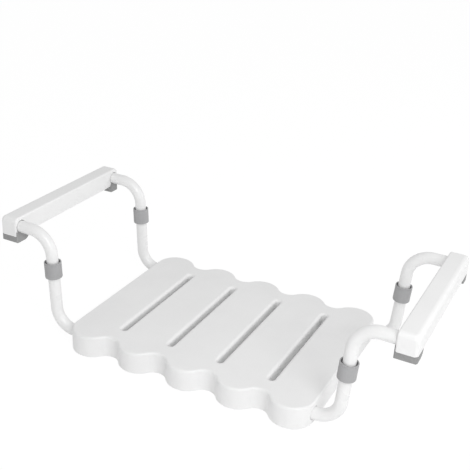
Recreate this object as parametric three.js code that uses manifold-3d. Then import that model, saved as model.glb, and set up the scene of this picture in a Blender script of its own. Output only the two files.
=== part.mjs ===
// A bath seat: a scalloped, slotted seat board that hangs in a bathtub from two rim bars.
// Each end has two bent tubes, front and rear, that join a rim bar to the board. The tubes slide
// in and out of the board under four clamps, so the seat fits tubs of different width.
// Millimetres, +X along the board, +Y to the back, +Z up. The origin is on the plane of the board's
// lower edge, under its centre.
import * as THREE from "three";
import { mergeVertices } from "three/addons/utils/BufferGeometryUtils.js";
import Module from "manifold-3d";

const wasm = await Module();
wasm.setup();

// Driving dimensions, in millimetres, and angles in degrees.

// Seat board
const boardLength = 433;
const boardHeight = 37.5;
const crestWidth = 334;
const lobeCount = 5;
const endTrim = 8.5;
const lobeDepthShare = 0.247;
const valleyShare = 0.37;
const topEdgeRadius = 4;
const boardWall = 3.5;
const boardTopWall = 4;
const slotEndInset = 30.5;
const slotWidth = 10;
const slotEdgeRadius = 4.5;
const slotSleeveWall = 2.5;
const slotSleeveFoot = 12;
const ribThickness = 2.5;
const ribFoot = 15;
const longRibSpacing = 62;
const endRibReach = 75;

// Bent tubes
const tubeDiameter = 20;
const tubeWall = 1.5;
const tubeInset = 34.5;
const tubeDrop = 19.5;
const lowerBendRadius = 37;
const bendStandoff = 2.2;
const legLeanDegrees = 3.5;
const upperBendRadius = 40;
const railLength = 21.8;
const insertionLength = 69.5;
const neckLength = 36;
const neckWall = 1.5;
const neckTaper = 3;
const slideClearance = 0.4;
const fitClearance = 0.3;

// Grey joint collars; each end's joints lie at a share of the straight part of its legs
const collarDiameter = 28.5;
const collarLowerSkirt = 14;
const collarUpperSkirt = 14;
const collarLipThickness = 2;
const collarEdge = 1;
const collarMouthDepth = 6;
const collarMouthGap = 1.6;
const leftJointShare = 0.745;
const rightJointShare = 0.606;

// Tube end plugs
const plugFlange = 2.5;
const plugDepth = 10;
const plugEdge = 1;

// Rim bars
const barWidth = 34;
const barEndGap = 0.3;
const barRise = 162;
const barThickness = 30;
const railDrop = 15;
const barWall = 2.5;
const barTopWall = 3;
const barInnerCornerRadius = 7;
const barOuterCornerRadius = 12;
const barEdgeRadius = 6;
const barBaseThickness = 3;
const tubeSeatDepth = 28;
const cradleLength = 14;
const cradleWidth = 16;
const cradleRise = 4;
const barRibThickness = 3;
const barRibOffset = 3;
const barRibLength = 22;
const barScrewSpacing = 120;
const barBossDiameter = 9;

// Rubber feet under the rim bars
const footLength = 27;
const footDrop = 11;
const footLip = 1.6;
const footLipRise = 8;
const footLipLength = 19;
const footLipSlope = 5;
const footFlatLength = 16.5;
const footNoseHeight = 2.5;
const footNoseLength = 2;
const footHeelThickness = 2;

// Sliding-tube clamps under the board
const clampInset = 35.5;
const saddleLength = 50;
const saddleWall = 3;
const flangeLength = 30;
const flangeThickness = 4;
const flangeOuterReach = 25;
const flangeInnerReach = 38;
const clampScrewReach = 19;
const clampScrewSpacing = 15;
const knobReach = 30;
const cradleRibThickness = 3;
const cradleRibSpacing = 22.5;
const cradleRibReach = 37;

// Locking knobs and their threaded inserts
const knobDiameter = 32;
const knobHeadHeight = 11;
const knobHubDiameter = 16;
const knobHubHeight = 2;
const knobEdge = 2;
const knobScallopDiameter = 11;
const knobLobes = 5;
const studDiameter = 6;
const studLength = 17;
const insertDiameter = 9;
const insertLength = 10;
const insertBossDiameter = 15;

// Screws
const screwDiameter = 3.8;
const screwHeadDiameter = 8;
const screwHeadHeight = 2.6;
const clampScrewLength = 15;
const barScrewLength = 14;
const footScrewLength = 17;
const clampBossDiameter = 9;

// Overrun of every cut past the face that it opens, and the distance at which points are one
const overrun = 2;
const weld = 0.001;

// Facets
const tubeSides = 14;
const bendSteps = 6;
const lobeSteps = 7;
const valleySteps = 4;
const cornerSteps = 4;
const smallSides = 8;
const knobSides = 15;
const collarSides = 16;
const edgeSteps = 3;
const heelSteps = 5;

// Sizes worked out from the ones above

const tubeRadius = tubeDiameter / 2;
const tubeBore = tubeRadius - tubeWall;
const lobePitch = (boardLength + 2 * endTrim) / lobeCount;
const lobeDepth = lobeDepthShare * lobePitch;
const valleyWidth = crestWidth - 2 * lobeDepth;
const slotLength = valleyWidth - 2 * slotEndInset;
const tubeY = crestWidth / 2 - tubeInset;
const runHeight = boardHeight - tubeDrop;
const boardHalf = boardLength / 2;
const lean = THREE.MathUtils.degToRad(legLeanDegrees);
const bendTurn = Math.PI / 2 - lean;
const bendStart = boardHalf + bendStandoff;
const runEnd = boardHalf - insertionLength;
const neckRadius = tubeBore - fitClearance;
const barLength = 2 * (tubeY + tubeRadius + barEndGap + barWall);
const barTop = boardHeight + barRise;
const railHeight = barTop - railDrop;
const barBottom = barTop - barThickness;
const clampX = boardHalf - clampInset;
const saddleBore = tubeRadius + fitClearance;
const clampPlane = runHeight + fitClearance;
const boardCeiling = boardHeight - boardTopWall;
const screwRadius = screwDiameter / 2;
const screwPassage = screwRadius + slideClearance;
const studRadius = studDiameter / 2;

// Solids

function toSolid(geometry) {
  const bare = geometry.index ? geometry.toNonIndexed() : geometry.clone();
  bare.deleteAttribute("normal");
  bare.deleteAttribute("uv");
  const merged = mergeVertices(bare, weld);
  const mesh = new wasm.Mesh({
    numProp: 3,
    vertProperties: merged.attributes.position.array,
    triVerts: new Uint32Array(merged.index.array),
  });
  return new wasm.Manifold(mesh);
}

function toGeometry(solid) {
  const mesh = solid.getMesh();
  const geometry = new THREE.BufferGeometry();
  geometry.setAttribute("position", new THREE.BufferAttribute(mesh.vertProperties, 3));
  geometry.setIndex(new THREE.BufferAttribute(mesh.triVerts, 1));
  geometry.computeVertexNormals();
  return geometry;
}

function join(...solids) {
  return solids.reduce((whole, solid) => whole.add(solid));
}

function cut(solid, ...tools) {
  return tools.reduce((rest, tool) => rest.subtract(tool), solid);
}

// A box from its lowest to its highest corner.
function block(low, high) {
  const size = high.map((value, axis) => value - low[axis]);
  const middle = high.map((value, axis) => (value + low[axis]) / 2);
  return toSolid(new THREE.BoxGeometry(...size).translate(...middle));
}

// An upright plate from z = low to z = high with the given plan.
function slab(shape, low, high) {
  const options = { depth: high - low, bevelEnabled: false };
  return toSolid(new THREE.ExtrudeGeometry(shape, options).translate(0, 0, low));
}

// A round bar along Z from z = low to z = high.
function post(radius, x, y, low, high, sides = smallSides) {
  const geometry = new THREE.CylinderGeometry(radius, radius, high - low, sides);
  geometry.rotateX(Math.PI / 2).translate(x, y, (low + high) / 2);
  return toSolid(geometry);
}

// A round bar along X from x = low to x = high.
function rodAlongX(radius, low, high, y, z) {
  const geometry = new THREE.CylinderGeometry(radius, radius, high - low, tubeSides);
  geometry.rotateZ(Math.PI / 2).translate((low + high) / 2, y, z);
  return toSolid(geometry);
}

// A turned part about Z from pairs of radius and height that go round the section once.
function turned(profile, sides) {
  const points = profile.map(([radius, height]) => new THREE.Vector2(radius, height));
  return new THREE.LatheGeometry([...points, points[0].clone()], sides).rotateX(Math.PI / 2);
}

function material(color, roughness, metalness = 0) {
  return () => new THREE.MeshStandardMaterial({ color, roughness, metalness });
}

const whiteBoard = material(0xf2f2f0, 0.42);
const whiteTube = material(0xf4f4f3, 0.3, 0.1);
const whiteBar = material(0xefefed, 0.38);
const greyCollar = material(0x9b9b9b, 0.5);
const greyRubber = material(0x7c7c7c, 0.75);
const greyClamp = material(0x8c8f92, 0.55);
const blackKnob = material(0x3a3c3f, 0.5);
const blackPlug = material(0x2f3133, 0.6);
const steel = material(0xb9bcc0, 0.3, 1);
const brass = material(0xb8995a, 0.35, 1);

function piece(name, geometry, finish) {
  const mesh = new THREE.Mesh(geometry, finish());
  mesh.name = name;
  return mesh;
}

// Seat board

function arcPoints(x, y, radius, from, to, steps) {
  const points = [];
  for (let step = 0; step <= steps; step += 1) {
    const angle = from + ((to - from) * step) / steps;
    points.push(new THREE.Vector2(x + radius * Math.cos(angle), y + radius * Math.sin(angle)));
  }
  return points;
}

const flankReach = ((lobePitch / 2) ** 2 + lobeDepth ** 2) / (2 * lobeDepth);
const flankTurn = Math.asin(lobePitch / 2 / flankReach);
const valleyRadius = valleyShare * flankReach;
const lobeRadius = flankReach - valleyRadius;
const lobeCentres = Array.from({ length: lobeCount }, (_, k) => (k - (lobeCount - 1) / 2) * lobePitch);
const endRadius = Math.min(lobeRadius, boardHalf - lobeCentres[lobeCount - 1]);

// The board's scalloped plan, drawn in from its edge by inset. Every lobe is an arc that runs
// through a hollow arc in the valley into the next one, and the end lobes round the corners.
function boardPlan(inset) {
  const quarter = Math.PI / 2;
  const lobeY = crestWidth / 2 - lobeRadius;
  const valleyY = crestWidth / 2 - lobeDepth + valleyRadius;
  const last = lobeCount - 1;
  const side = (sign) => {
    const middle = sign * quarter;
    const across = middle + 2 * quarter;
    const corner = (x, from, to) => {
      const y = sign * (crestWidth / 2 - endRadius);
      return arcPoints(x, y, endRadius - inset, from, to, cornerSteps);
    };
    const lobes = lobeCentres.flatMap((x, k) => {
      const from = middle - (k === 0 ? 0 : flankTurn);
      const to = middle + (k === last ? 0 : flankTurn);
      const valleyX = -sign * (x + lobePitch / 2);
      const lobe = arcPoints(-sign * x, sign * lobeY, lobeRadius - inset, from, to, lobeSteps);
      const hollow = arcPoints(
        valleyX, sign * valleyY, valleyRadius + inset, across + flankTurn, across - flankTurn, valleySteps,
      );
      return k === last ? lobe : [...lobe, ...hollow];
    });
    const endX = sign * (boardHalf - endRadius);
    return [...corner(endX, middle - quarter, middle), ...lobes, ...corner(-endX, middle, middle + quarter)];
  };
  const points = [...side(-1), ...side(1)];
  const apart = (point, k) => point.distanceTo(points.at(k - 1)) > weld;
  return new THREE.Shape(points.filter(apart));
}

// A stadium plan that runs along Y, grown by grow all round.
function stadium(x, length, width, grow) {
  const radius = width / 2 + grow;
  const reach = length / 2 - width / 2;
  const points = [
    ...arcPoints(x, reach, radius, 0, Math.PI, cornerSteps),
    ...arcPoints(x, -reach, radius, Math.PI, 2 * Math.PI, cornerSteps),
  ];
  return new THREE.Shape(points);
}

// One chamfer of a slot's rounded mouth: it opens from inset to inset + spread as z rises.
function mouthChamfer(x, inset, spread, low, rise) {
  const options = {
    depth: rise,
    bevelSegments: 1,
    bevelSize: spread,
    bevelThickness: rise,
    bevelOffset: 0,
  };
  const shape = stadium(x, slotLength, slotWidth, inset);
  return toSolid(new THREE.ExtrudeGeometry(shape, options).translate(0, 0, low + rise));
}

const slotPlaces = lobeCentres.slice(1).map((x) => x - lobePitch / 2);
const roundShare = 1 - Math.cos(Math.PI / 4);

function slotCutters() {
  const nearRise = slotEdgeRadius * (1 - roundShare);
  const farRise = slotEdgeRadius * roundShare;
  return slotPlaces.flatMap((x) => [
    slab(stadium(x, slotLength, slotWidth, 0), -overrun, boardHeight + overrun),
    mouthChamfer(x, 0, farRise, boardHeight - slotEdgeRadius, nearRise),
    mouthChamfer(x, farRise, nearRise, boardHeight - farRise, farRise),
  ]);
}

const corners = [-1, 1].flatMap((sx) => [-1, 1].map((sy) => ({ sx, sy })));

// Ribs and bosses under one corner that hold a tube, its clamp screws and its knob's insert.
function cornerStructure({ sx, sy }) {
  const x = sx * clampX;
  const y = sy * tubeY;
  const ribs = [-1, 0, 1].map((place) => {
    const middle = x + place * cradleRibSpacing;
    const inner = y - sy * cradleRibReach;
    const outer = (sy * crestWidth) / 2;
    return block(
      [middle - cradleRibThickness / 2, Math.min(inner, outer), clampPlane],
      [middle + cradleRibThickness / 2, Math.max(inner, outer), boardCeiling + overrun],
    );
  });
  const screwBosses = [-1, 1].map((place) => {
    const bossX = x + (place * clampScrewSpacing) / 2;
    const bossY = y + sy * clampScrewReach;
    return post(clampBossDiameter / 2, bossX, bossY, clampPlane, boardCeiling + overrun);
  });
  const knobBoss = post(
    insertBossDiameter / 2, x, y - sy * knobReach, clampPlane, boardCeiling + overrun,
  );
  return [...ribs, ...screwBosses, knobBoss];
}

function cornerCuts({ sx, sy }) {
  const x = sx * clampX;
  const y = sy * tubeY;
  const inner = sx * (runEnd - plugFlange - overrun);
  const outer = sx * (boardHalf + overrun);
  const bore = rodAlongX(
    tubeRadius + slideClearance, Math.min(inner, outer), Math.max(inner, outer), y, runHeight,
  );
  const screwTop = clampPlane + clampScrewLength - flangeThickness;
  const screwHoles = [-1, 1].map((place) => {
    const holeX = x + (place * clampScrewSpacing) / 2;
    return post(screwPassage, holeX, y + sy * clampScrewReach, clampPlane - overrun, screwTop);
  });
  const knobY = y - sy * knobReach;
  const insertTop = clampPlane + insertLength + 2 * fitClearance;
  const insertHole = post(insertDiameter / 2 + fitClearance, x, knobY, clampPlane - overrun, insertTop);
  const studTop = clampPlane - flangeThickness + studLength;
  const studHole = post(studRadius + slideClearance, x, knobY, clampPlane, studTop);
  return [bore, ...screwHoles, insertHole, studHole];
}

function boardSolid() {
  const options = {
    depth: boardHeight,
    bevelSegments: edgeSteps,
    bevelSize: topEdgeRadius,
    bevelThickness: topEdgeRadius,
    bevelOffset: -topEdgeRadius,
  };
  const rounded = new THREE.ExtrudeGeometry(boardPlan(0), options).translate(0, 0, -topEdgeRadius);
  const below = block(
    [-boardLength, -crestWidth, -boardHeight], [boardLength, crestWidth, 0],
  );
  const shell = cut(
    toSolid(rounded), below, slab(boardPlan(boardWall), -overrun, boardCeiling),
  );
  const sleeves = slotPlaces.map((x) =>
    slab(stadium(x, slotLength, slotWidth, slotSleeveWall), slotSleeveFoot, boardCeiling + overrun));
  const innerHalf = boardHalf - boardWall / 2;
  const longRibs = [-1, 0, 1].map((row) => block(
    [-innerHalf, row * longRibSpacing - ribThickness / 2, ribFoot],
    [innerHalf, row * longRibSpacing + ribThickness / 2, boardCeiling + overrun],
  ));
  const crossRibs = lobeCentres.map((x, k) => {
    const end = k === 0 || k === lobeCount - 1;
    const reach = end ? endRibReach : crestWidth / 2;
    return block(
      [x - ribThickness / 2, -reach, ribFoot], [x + ribThickness / 2, reach, boardCeiling + overrun],
    );
  });
  const structure = join(...sleeves, ...longRibs, ...crossRibs, ...corners.flatMap(cornerStructure));
  const within = slab(boardPlan(boardWall / 2), 0, boardCeiling + boardTopWall / 2);
  return cut(
    join(shell, structure.intersect(within)), ...slotCutters(), ...corners.flatMap(cornerCuts),
  );
}

// Bent tubes

// A centre-line in the XZ plane through given stations, one per step of the extrusion.
class StationLine extends THREE.Curve {
  constructor(stations) {
    super();
    this.stations = stations;
  }

  getUtoTmapping(u) {
    return u;
  }

  getPoint(t, target = new THREE.Vector3()) {
    const place = t * (this.stations.length - 1);
    const index = Math.min(Math.round(place), this.stations.length - 1);
    return target.copy(this.stations[index].point);
  }

  getTangent(t, target = new THREE.Vector3()) {
    const place = t * (this.stations.length - 1);
    const index = Math.min(Math.round(place), this.stations.length - 1);
    return target.copy(this.stations[index].direction);
  }
}

// Stations of a straight run, a bend of the given turn and another straight run. The line starts
// at the point start, heading at startAngle above +X; turn is positive when it bends upwards.
function bentStations(start, startAngle, firstRun, radius, turn, lastRun) {
  const heading = (angle) => new THREE.Vector3(Math.cos(angle), 0, Math.sin(angle));
  const stations = [{ point: start.clone(), direction: heading(startAngle) }];
  const bendPoint = start.clone().addScaledVector(heading(startAngle), firstRun);
  const side = Math.sign(turn);
  const centre = bendPoint.clone().addScaledVector(heading(startAngle + (side * Math.PI) / 2), radius);
  for (let step = 0; step <= bendSteps; step += 1) {
    const angle = startAngle + (turn * step) / bendSteps;
    const point = centre.clone().addScaledVector(heading(angle - (side * Math.PI) / 2), radius);
    stations.push({ point, direction: heading(angle) });
  }
  const last = stations[stations.length - 1];
  const end = last.point.clone().addScaledVector(last.direction, lastRun);
  stations.push({ point: end, direction: last.direction.clone() });
  return stations;
}

function sweep(stations, radius) {
  const section = new THREE.Shape(arcPoints(0, 0, radius, 0, 2 * Math.PI, tubeSides).slice(1));
  const options = { steps: stations.length - 1, extrudePath: new StationLine(stations) };
  return toSolid(new THREE.ExtrudeGeometry(section, options));
}

// A leg's centre-line on the right side, in its own XZ plane, from the board to the rim bar.
const bendDirection = new THREE.Vector3(Math.sin(lean), 0, Math.cos(lean));
const lowerBendEnd = new THREE.Vector3(
  bendStart + lowerBendRadius * Math.sin(bendTurn),
  0,
  runHeight + lowerBendRadius * (1 - Math.cos(bendTurn)),
);

// The point of the leaning straight part at height z, where a collar's lip lies.
function legPoint(z) {
  const along = (z - lowerBendEnd.z) / bendDirection.z;
  return lowerBendEnd.clone().addScaledVector(bendDirection, along);
}

const upperBendStart = legPoint(railHeight - upperBendRadius * (1 - Math.cos(bendTurn)));
const railStart = upperBendStart.x + upperBendRadius * Math.sin(bendTurn);
const barInner = railStart + railLength;
const barMiddle = barInner + barWidth / 2;
const lipHalf = collarLipThickness / 2 + fitClearance;

function lowerTube(joint) {
  const rise = joint.distanceTo(lowerBendEnd) - lipHalf;
  const make = (radius, extra) => {
    const start = new THREE.Vector3(runEnd - extra, 0, runHeight);
    const firstRun = bendStart - runEnd + extra;
    return sweep(bentStations(start, 0, firstRun, lowerBendRadius, bendTurn, rise + extra), radius);
  };
  return cut(make(tubeRadius, 0), make(tubeBore, overrun));
}

function upperTube(joint) {
  const upwards = Math.PI / 2 - lean;
  const rise = upperBendStart.distanceTo(joint) - lipHalf;
  const inserted = barInner + tubeSeatDepth - railStart;
  const along = (distance) => joint.clone().addScaledVector(bendDirection, distance);
  const make = (radius, from, extra) => {
    const run = rise - from + lipHalf;
    const last = inserted + extra;
    return sweep(bentStations(along(from), upwards, run, upperBendRadius, -bendTurn, last), radius);
  };
  const straight = (radius, from, to) => {
    const geometry = new THREE.CylinderGeometry(radius, radius, to - from, tubeSides);
    const middle = along((from + to) / 2);
    return toSolid(geometry.rotateX(Math.PI / 2).rotateY(lean).translate(middle.x, middle.y, middle.z));
  };
  const body = join(
    make(tubeRadius, lipHalf, 0),
    straight(neckRadius, lipHalf - neckLength, lipHalf + overrun),
  );
  const bore = join(
    make(tubeBore, lipHalf + neckTaper, overrun),
    straight(neckRadius - neckWall, lipHalf - neckLength - overrun, lipHalf + neckTaper + overrun),
  );
  const screwHole = post(screwPassage, barMiddle, 0, railHeight - tubeDiameter, railHeight);
  return cut(body, bore, screwHole);
}

function collar() {
  const outer = collarDiameter / 2;
  const bore = tubeRadius + fitClearance;
  const lip = neckRadius + fitClearance;
  const half = collarLipThickness / 2;
  return turned([
    [bore, -collarLowerSkirt],
    [outer - collarEdge, -collarLowerSkirt],
    [outer, -collarLowerSkirt + collarEdge],
    [outer, collarUpperSkirt - collarEdge],
    [outer - collarEdge, collarUpperSkirt],
    [bore + collarMouthGap, collarUpperSkirt],
    [bore, collarUpperSkirt - collarMouthDepth],
    [bore, half],
    [lip, half],
    [lip, -half],
    [bore, -half],
  ], collarSides);
}

function endPlug() {
  const stem = tubeBore - fitClearance;
  return turned([
    [0, -plugFlange],
    [tubeRadius - plugEdge, -plugFlange],
    [tubeRadius, -plugFlange + plugEdge],
    [tubeRadius, 0],
    [stem, 0],
    [stem, plugDepth],
    [0, plugDepth],
  ], tubeSides);
}

// A pan-head screw about Z: its head hangs below z = 0 and its shank rises to z = length.
function panScrew(length) {
  const head = screwHeadDiameter / 2;
  return turned([
    [0, -screwHeadHeight],
    [head / 2, -screwHeadHeight],
    [head, -screwHeadHeight / 2],
    [head, 0],
    [screwRadius, 0],
    [screwRadius, length - screwRadius],
    [0, length],
  ], smallSides);
}

// Rim bar

// The bar's plan, drawn in from its edge by inset.
function barPlan(inset) {
  const left = barInner + inset;
  const right = barInner + barWidth - inset;
  const end = barLength / 2 - inset;
  const tight = barInnerCornerRadius - inset;
  const wide = barOuterCornerRadius - inset;
  const quarter = Math.PI / 2;
  return new THREE.Shape([
    ...arcPoints(left + tight, -end + tight, tight, -2 * quarter, -quarter, cornerSteps),
    ...arcPoints(right - wide, -end + wide, wide, -quarter, 0, cornerSteps),
    ...arcPoints(right - wide, end - wide, wide, 0, quarter, cornerSteps),
    ...arcPoints(left + tight, end - tight, tight, quarter, 2 * quarter, cornerSteps),
  ]);
}

const ends = [-1, 1];
const barCeiling = barTop - barTopWall;
const baseTop = barBottom + barBaseThickness;

function barCover() {
  const options = {
    depth: barThickness,
    bevelSegments: edgeSteps,
    bevelSize: barEdgeRadius,
    bevelThickness: barEdgeRadius,
    bevelOffset: -barEdgeRadius,
  };
  const geometry = new THREE.ExtrudeGeometry(barPlan(0), options);
  const rounded = toSolid(geometry.translate(0, 0, barBottom - barEdgeRadius));
  const below = block(
    [barInner - overrun, -barLength, barBottom - barThickness],
    [barInner + barWidth + overrun, barLength, barBottom],
  );
  const shell = cut(rounded, below, slab(barPlan(barWall), barBottom - overrun, barCeiling));
  const ribStart = barMiddle + barRibOffset;
  const ribs = ends.map((sy) => {
    const inner = sy * (tubeY - barRibLength / 2);
    const outer = sy * (tubeY + barRibLength / 2);
    return block(
      [ribStart, Math.min(inner, outer), railHeight],
      [ribStart + barRibThickness, Math.max(inner, outer), barCeiling + barTopWall / 2],
    );
  });
  const bosses = ends.map((sy) => post(
    barBossDiameter / 2, barMiddle, (sy * barScrewSpacing) / 2, baseTop + fitClearance,
    barCeiling + barTopWall / 2,
  ));
  const within = slab(barPlan(barWall / 2), barBottom, barTop);
  const tubeHoles = ends.map((sy) => rodAlongX(
    tubeRadius + fitClearance, barInner - overrun, barInner + tubeSeatDepth + fitClearance,
    sy * tubeY, railHeight,
  ));
  const screwHoles = ends.map((sy) => post(
    screwPassage, barMiddle, (sy * barScrewSpacing) / 2, barBottom, barBottom + barScrewLength + overrun,
  ));
  return cut(
    join(shell, join(...ribs, ...bosses).intersect(within)), ...tubeHoles, ...screwHoles,
  );
}

function barBase() {
  const plate = slab(barPlan(barWall + fitClearance), barBottom, baseTop);
  const saddles = ends.map((sy) => block(
    [barMiddle - cradleLength / 2, sy * tubeY - cradleWidth / 2, barBottom],
    [barMiddle + cradleLength / 2, sy * tubeY + cradleWidth / 2, railHeight - tubeRadius + cradleRise],
  ));
  const tubeGrooves = ends.map((sy) => rodAlongX(
    tubeRadius + fitClearance, barInner, barInner + barWidth, sy * tubeY, railHeight,
  ));
  const barHoles = ends.map((sy) => post(
    screwPassage, barMiddle, (sy * barScrewSpacing) / 2, barBottom - overrun, baseTop + overrun,
  ));
  const footHoles = ends.map((sy) => post(
    screwPassage, barMiddle, sy * tubeY, barBottom - overrun, railHeight,
  ));
  return cut(join(plate, ...saddles), ...tubeGrooves, ...barHoles, ...footHoles);
}

// The rounded heel of a foot's side outline, from its flat sole up to its thin end.
function heelPoints(end, bottom) {
  const run = footLength - footFlatLength;
  const rise = footDrop - footHeelThickness;
  return Array.from({ length: heelSteps + 1 }, (_, k) => {
    const turn = ((Math.PI / 2) * k) / heelSteps;
    return [end - footFlatLength - run * Math.sin(turn), bottom + rise * (1 - Math.cos(turn))];
  });
}

// A rubber foot at one end of the rim bar, from its side outline: its lip wraps the inner face.
function foot(sy) {
  const end = barLength / 2;
  const bottom = barBottom - footDrop;
  const outline = [
    [end, bottom + footNoseHeight],
    [end - footNoseLength, bottom],
    ...heelPoints(end, bottom),
    [end - footLength, barBottom],
    [end - footLipLength - footLipSlope, barBottom],
    [end - footLipLength, barBottom + footLipRise],
    [end, barBottom + footLipRise],
  ];
  const shape = new THREE.Shape(outline.map(([y, z]) => new THREE.Vector2(sy * y, z)));
  const width = barWidth + footLip + fitClearance;
  const geometry = new THREE.ExtrudeGeometry(shape, { depth: width, bevelEnabled: false });
  geometry.rotateX(Math.PI / 2).rotateZ(Math.PI / 2);
  geometry.translate(barInner - footLip - fitClearance, 0, 0);
  const channel = block(
    [barInner - fitClearance, -barLength, barBottom - fitClearance],
    [barInner + barWidth + overrun, barLength, barTop],
  );
  const tubeGroove = rodAlongX(
    tubeRadius + fitClearance, barInner - barWidth, barInner + 2 * barWidth, sy * tubeY, railHeight,
  );
  const screwHole = post(screwPassage, barMiddle, sy * tubeY, bottom - overrun, barBottom + overrun);
  const sink = post(
    screwHeadDiameter / 2 + fitClearance, barMiddle, sy * tubeY, bottom - overrun,
    bottom + screwHeadHeight + 2 * fitClearance,
  );
  const underBar = slab(barPlan(0), bottom - overrun, barBottom + overrun);
  const innerSide = block(
    [barInner - barWidth, -barLength, bottom - overrun],
    [barMiddle, barLength, barTop],
  );
  const solid = toSolid(geometry).intersect(join(underBar, innerSide));
  return cut(solid, channel, tubeGroove, screwHole, sink);
}

// Clamps under the board; each is made at y = 0 with its knob towards +Y

function saddle() {
  const trough = cut(
    rodAlongX(saddleBore + saddleWall, -saddleLength / 2, saddleLength / 2, 0, runHeight),
    block([-saddleLength, -boardLength, runHeight], [saddleLength, boardLength, 2 * boardHeight]),
  );
  const flange = block(
    [-flangeLength / 2, -flangeOuterReach, runHeight - flangeThickness],
    [flangeLength / 2, flangeInnerReach, runHeight],
  );
  const groove = rodAlongX(saddleBore, -saddleLength, saddleLength, 0, runHeight);
  const holes = ends.map((place) => post(
    screwPassage, (place * clampScrewSpacing) / 2, -clampScrewReach, 0, boardHeight,
  ));
  const studHole = post(studRadius + slideClearance, 0, knobReach, 0, boardHeight);
  return cut(join(trough, flange), groove, ...holes, studHole);
}

// A scalloped clamping knob about Z with its head below z = 0 and its stud above.
function knob() {
  const radius = knobDiameter / 2;
  const head = toSolid(turned([
    [0, -knobHeadHeight],
    [radius - knobEdge, -knobHeadHeight],
    [radius, -knobHeadHeight + knobEdge],
    [radius, -knobHubHeight - knobEdge / 2],
    [radius - knobEdge / 2, -knobHubHeight],
    [knobHubDiameter / 2, -knobHubHeight],
    [knobHubDiameter / 2, 0],
    [0, 0],
  ], knobSides));
  const stud = post(studRadius, 0, 0, -knobHubHeight, studLength);
  const scallops = Array.from({ length: knobLobes }, (_, k) => {
    const angle = (2 * Math.PI * (k + 1 / 2)) / knobLobes;
    const reach = radius + knobScallopDiameter / 4;
    return post(
      knobScallopDiameter / 2, reach * Math.cos(angle), reach * Math.sin(angle),
      -knobHeadHeight - overrun, 0, knobSides,
    );
  });
  return cut(join(head, stud), ...scallops);
}

function threadedInsert() {
  const bore = studRadius + slideClearance;
  const outer = insertDiameter / 2;
  return turned([[bore, 0], [outer, 0], [outer, insertLength], [bore, insertLength]], smallSides);
}

// Assembly

const bathSeat = new THREE.Group();
bathSeat.add(piece("seat_board", toGeometry(boardSolid()), whiteBoard));

const endName = (sx) => (sx < 0 ? "left" : "right");
const depthName = (sy) => (sy < 0 ? "front" : "rear");

for (const { sx, sy } of corners) {
  const corner = `${depthName(sy)}_${endName(sx)}`;
  const station = new THREE.Group();
  station.position.set(sx * clampX, sy * tubeY, 0);
  station.rotation.z = sy < 0 ? 0 : Math.PI;
  station.add(piece(`tube_saddle_${corner}`, toGeometry(saddle()), greyClamp));
  ends.forEach((place, index) => {
    const screw = piece(`saddle_screw_${corner}_${index + 1}`, panScrew(clampScrewLength), steel);
    const headTop = runHeight - flangeThickness - fitClearance;
    screw.position.set((place * clampScrewSpacing) / 2, -clampScrewReach, headTop);
    station.add(screw);
  });
  const insert = piece(`threaded_insert_${corner}`, threadedInsert(), brass);
  insert.position.set(0, knobReach, clampPlane + fitClearance);
  const turnKnob = piece(`locking_knob_${corner}`, toGeometry(knob()), blackKnob);
  turnKnob.position.set(0, knobReach, runHeight - flangeThickness - fitClearance);
  station.add(insert, turnKnob);
  bathSeat.add(station);
}

// One end frame: two legs and a rim bar, made for the right end and turned round for the left.
function endFrame(sx, jointShare) {
  const frame = new THREE.Group();
  frame.rotation.z = sx < 0 ? Math.PI : 0;
  const name = endName(sx);
  const joint = lowerBendEnd.clone().lerp(upperBendStart, jointShare);
  for (const side of ends) {
    const place = `${depthName(side * sx)}_${name}`;
    const leg = new THREE.Group();
    leg.position.y = side * tubeY;
    const ring = piece(`joint_collar_${place}`, collar(), greyCollar);
    ring.position.copy(joint);
    ring.rotation.y = lean;
    const plug = piece(`tube_plug_${place}`, endPlug(), blackPlug);
    plug.position.set(runEnd - fitClearance, 0, runHeight);
    plug.rotation.y = Math.PI / 2;
    leg.add(
      piece(`lower_tube_${place}`, toGeometry(lowerTube(joint)), whiteTube),
      piece(`upper_tube_${place}`, toGeometry(upperTube(joint)), whiteTube),
      ring,
      plug,
    );
    const barScrew = piece(`bar_screw_${place}`, panScrew(barScrewLength), steel);
    barScrew.position.set(barMiddle, (side * barScrewSpacing) / 2, barBottom - fitClearance);
    const footScrew = piece(`foot_screw_${place}`, panScrew(footScrewLength), steel);
    const sunk = barBottom - footDrop + screwHeadHeight + fitClearance;
    footScrew.position.set(barMiddle, side * tubeY, sunk);
    const pad = piece(`rubber_foot_${place}`, toGeometry(foot(side)), greyRubber);
    frame.add(leg, barScrew, footScrew, pad);
  }
  frame.add(
    piece(`rim_bar_cover_${name}`, toGeometry(barCover()), whiteBar),
    piece(`rim_bar_base_${name}`, toGeometry(barBase()), whiteBar),
  );
  return frame;
}

bathSeat.add(endFrame(-1, leftJointShare), endFrame(1, rightJointShare));

export default bathSeat;
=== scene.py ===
"""Studio scene of a bath seat: a slotted seat board that hangs in a tub from two rim bars.

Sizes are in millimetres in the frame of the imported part: +X along the board, +Y to the rear and
+Z up, with the origin under the board's centre. Meshes are made in metres from them.
"""

import logging
import math
from collections.abc import Iterable, Sequence
from dataclasses import dataclass
from enum import Enum

import bmesh
import bpy
from mathutils import Matrix, Vector


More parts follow.
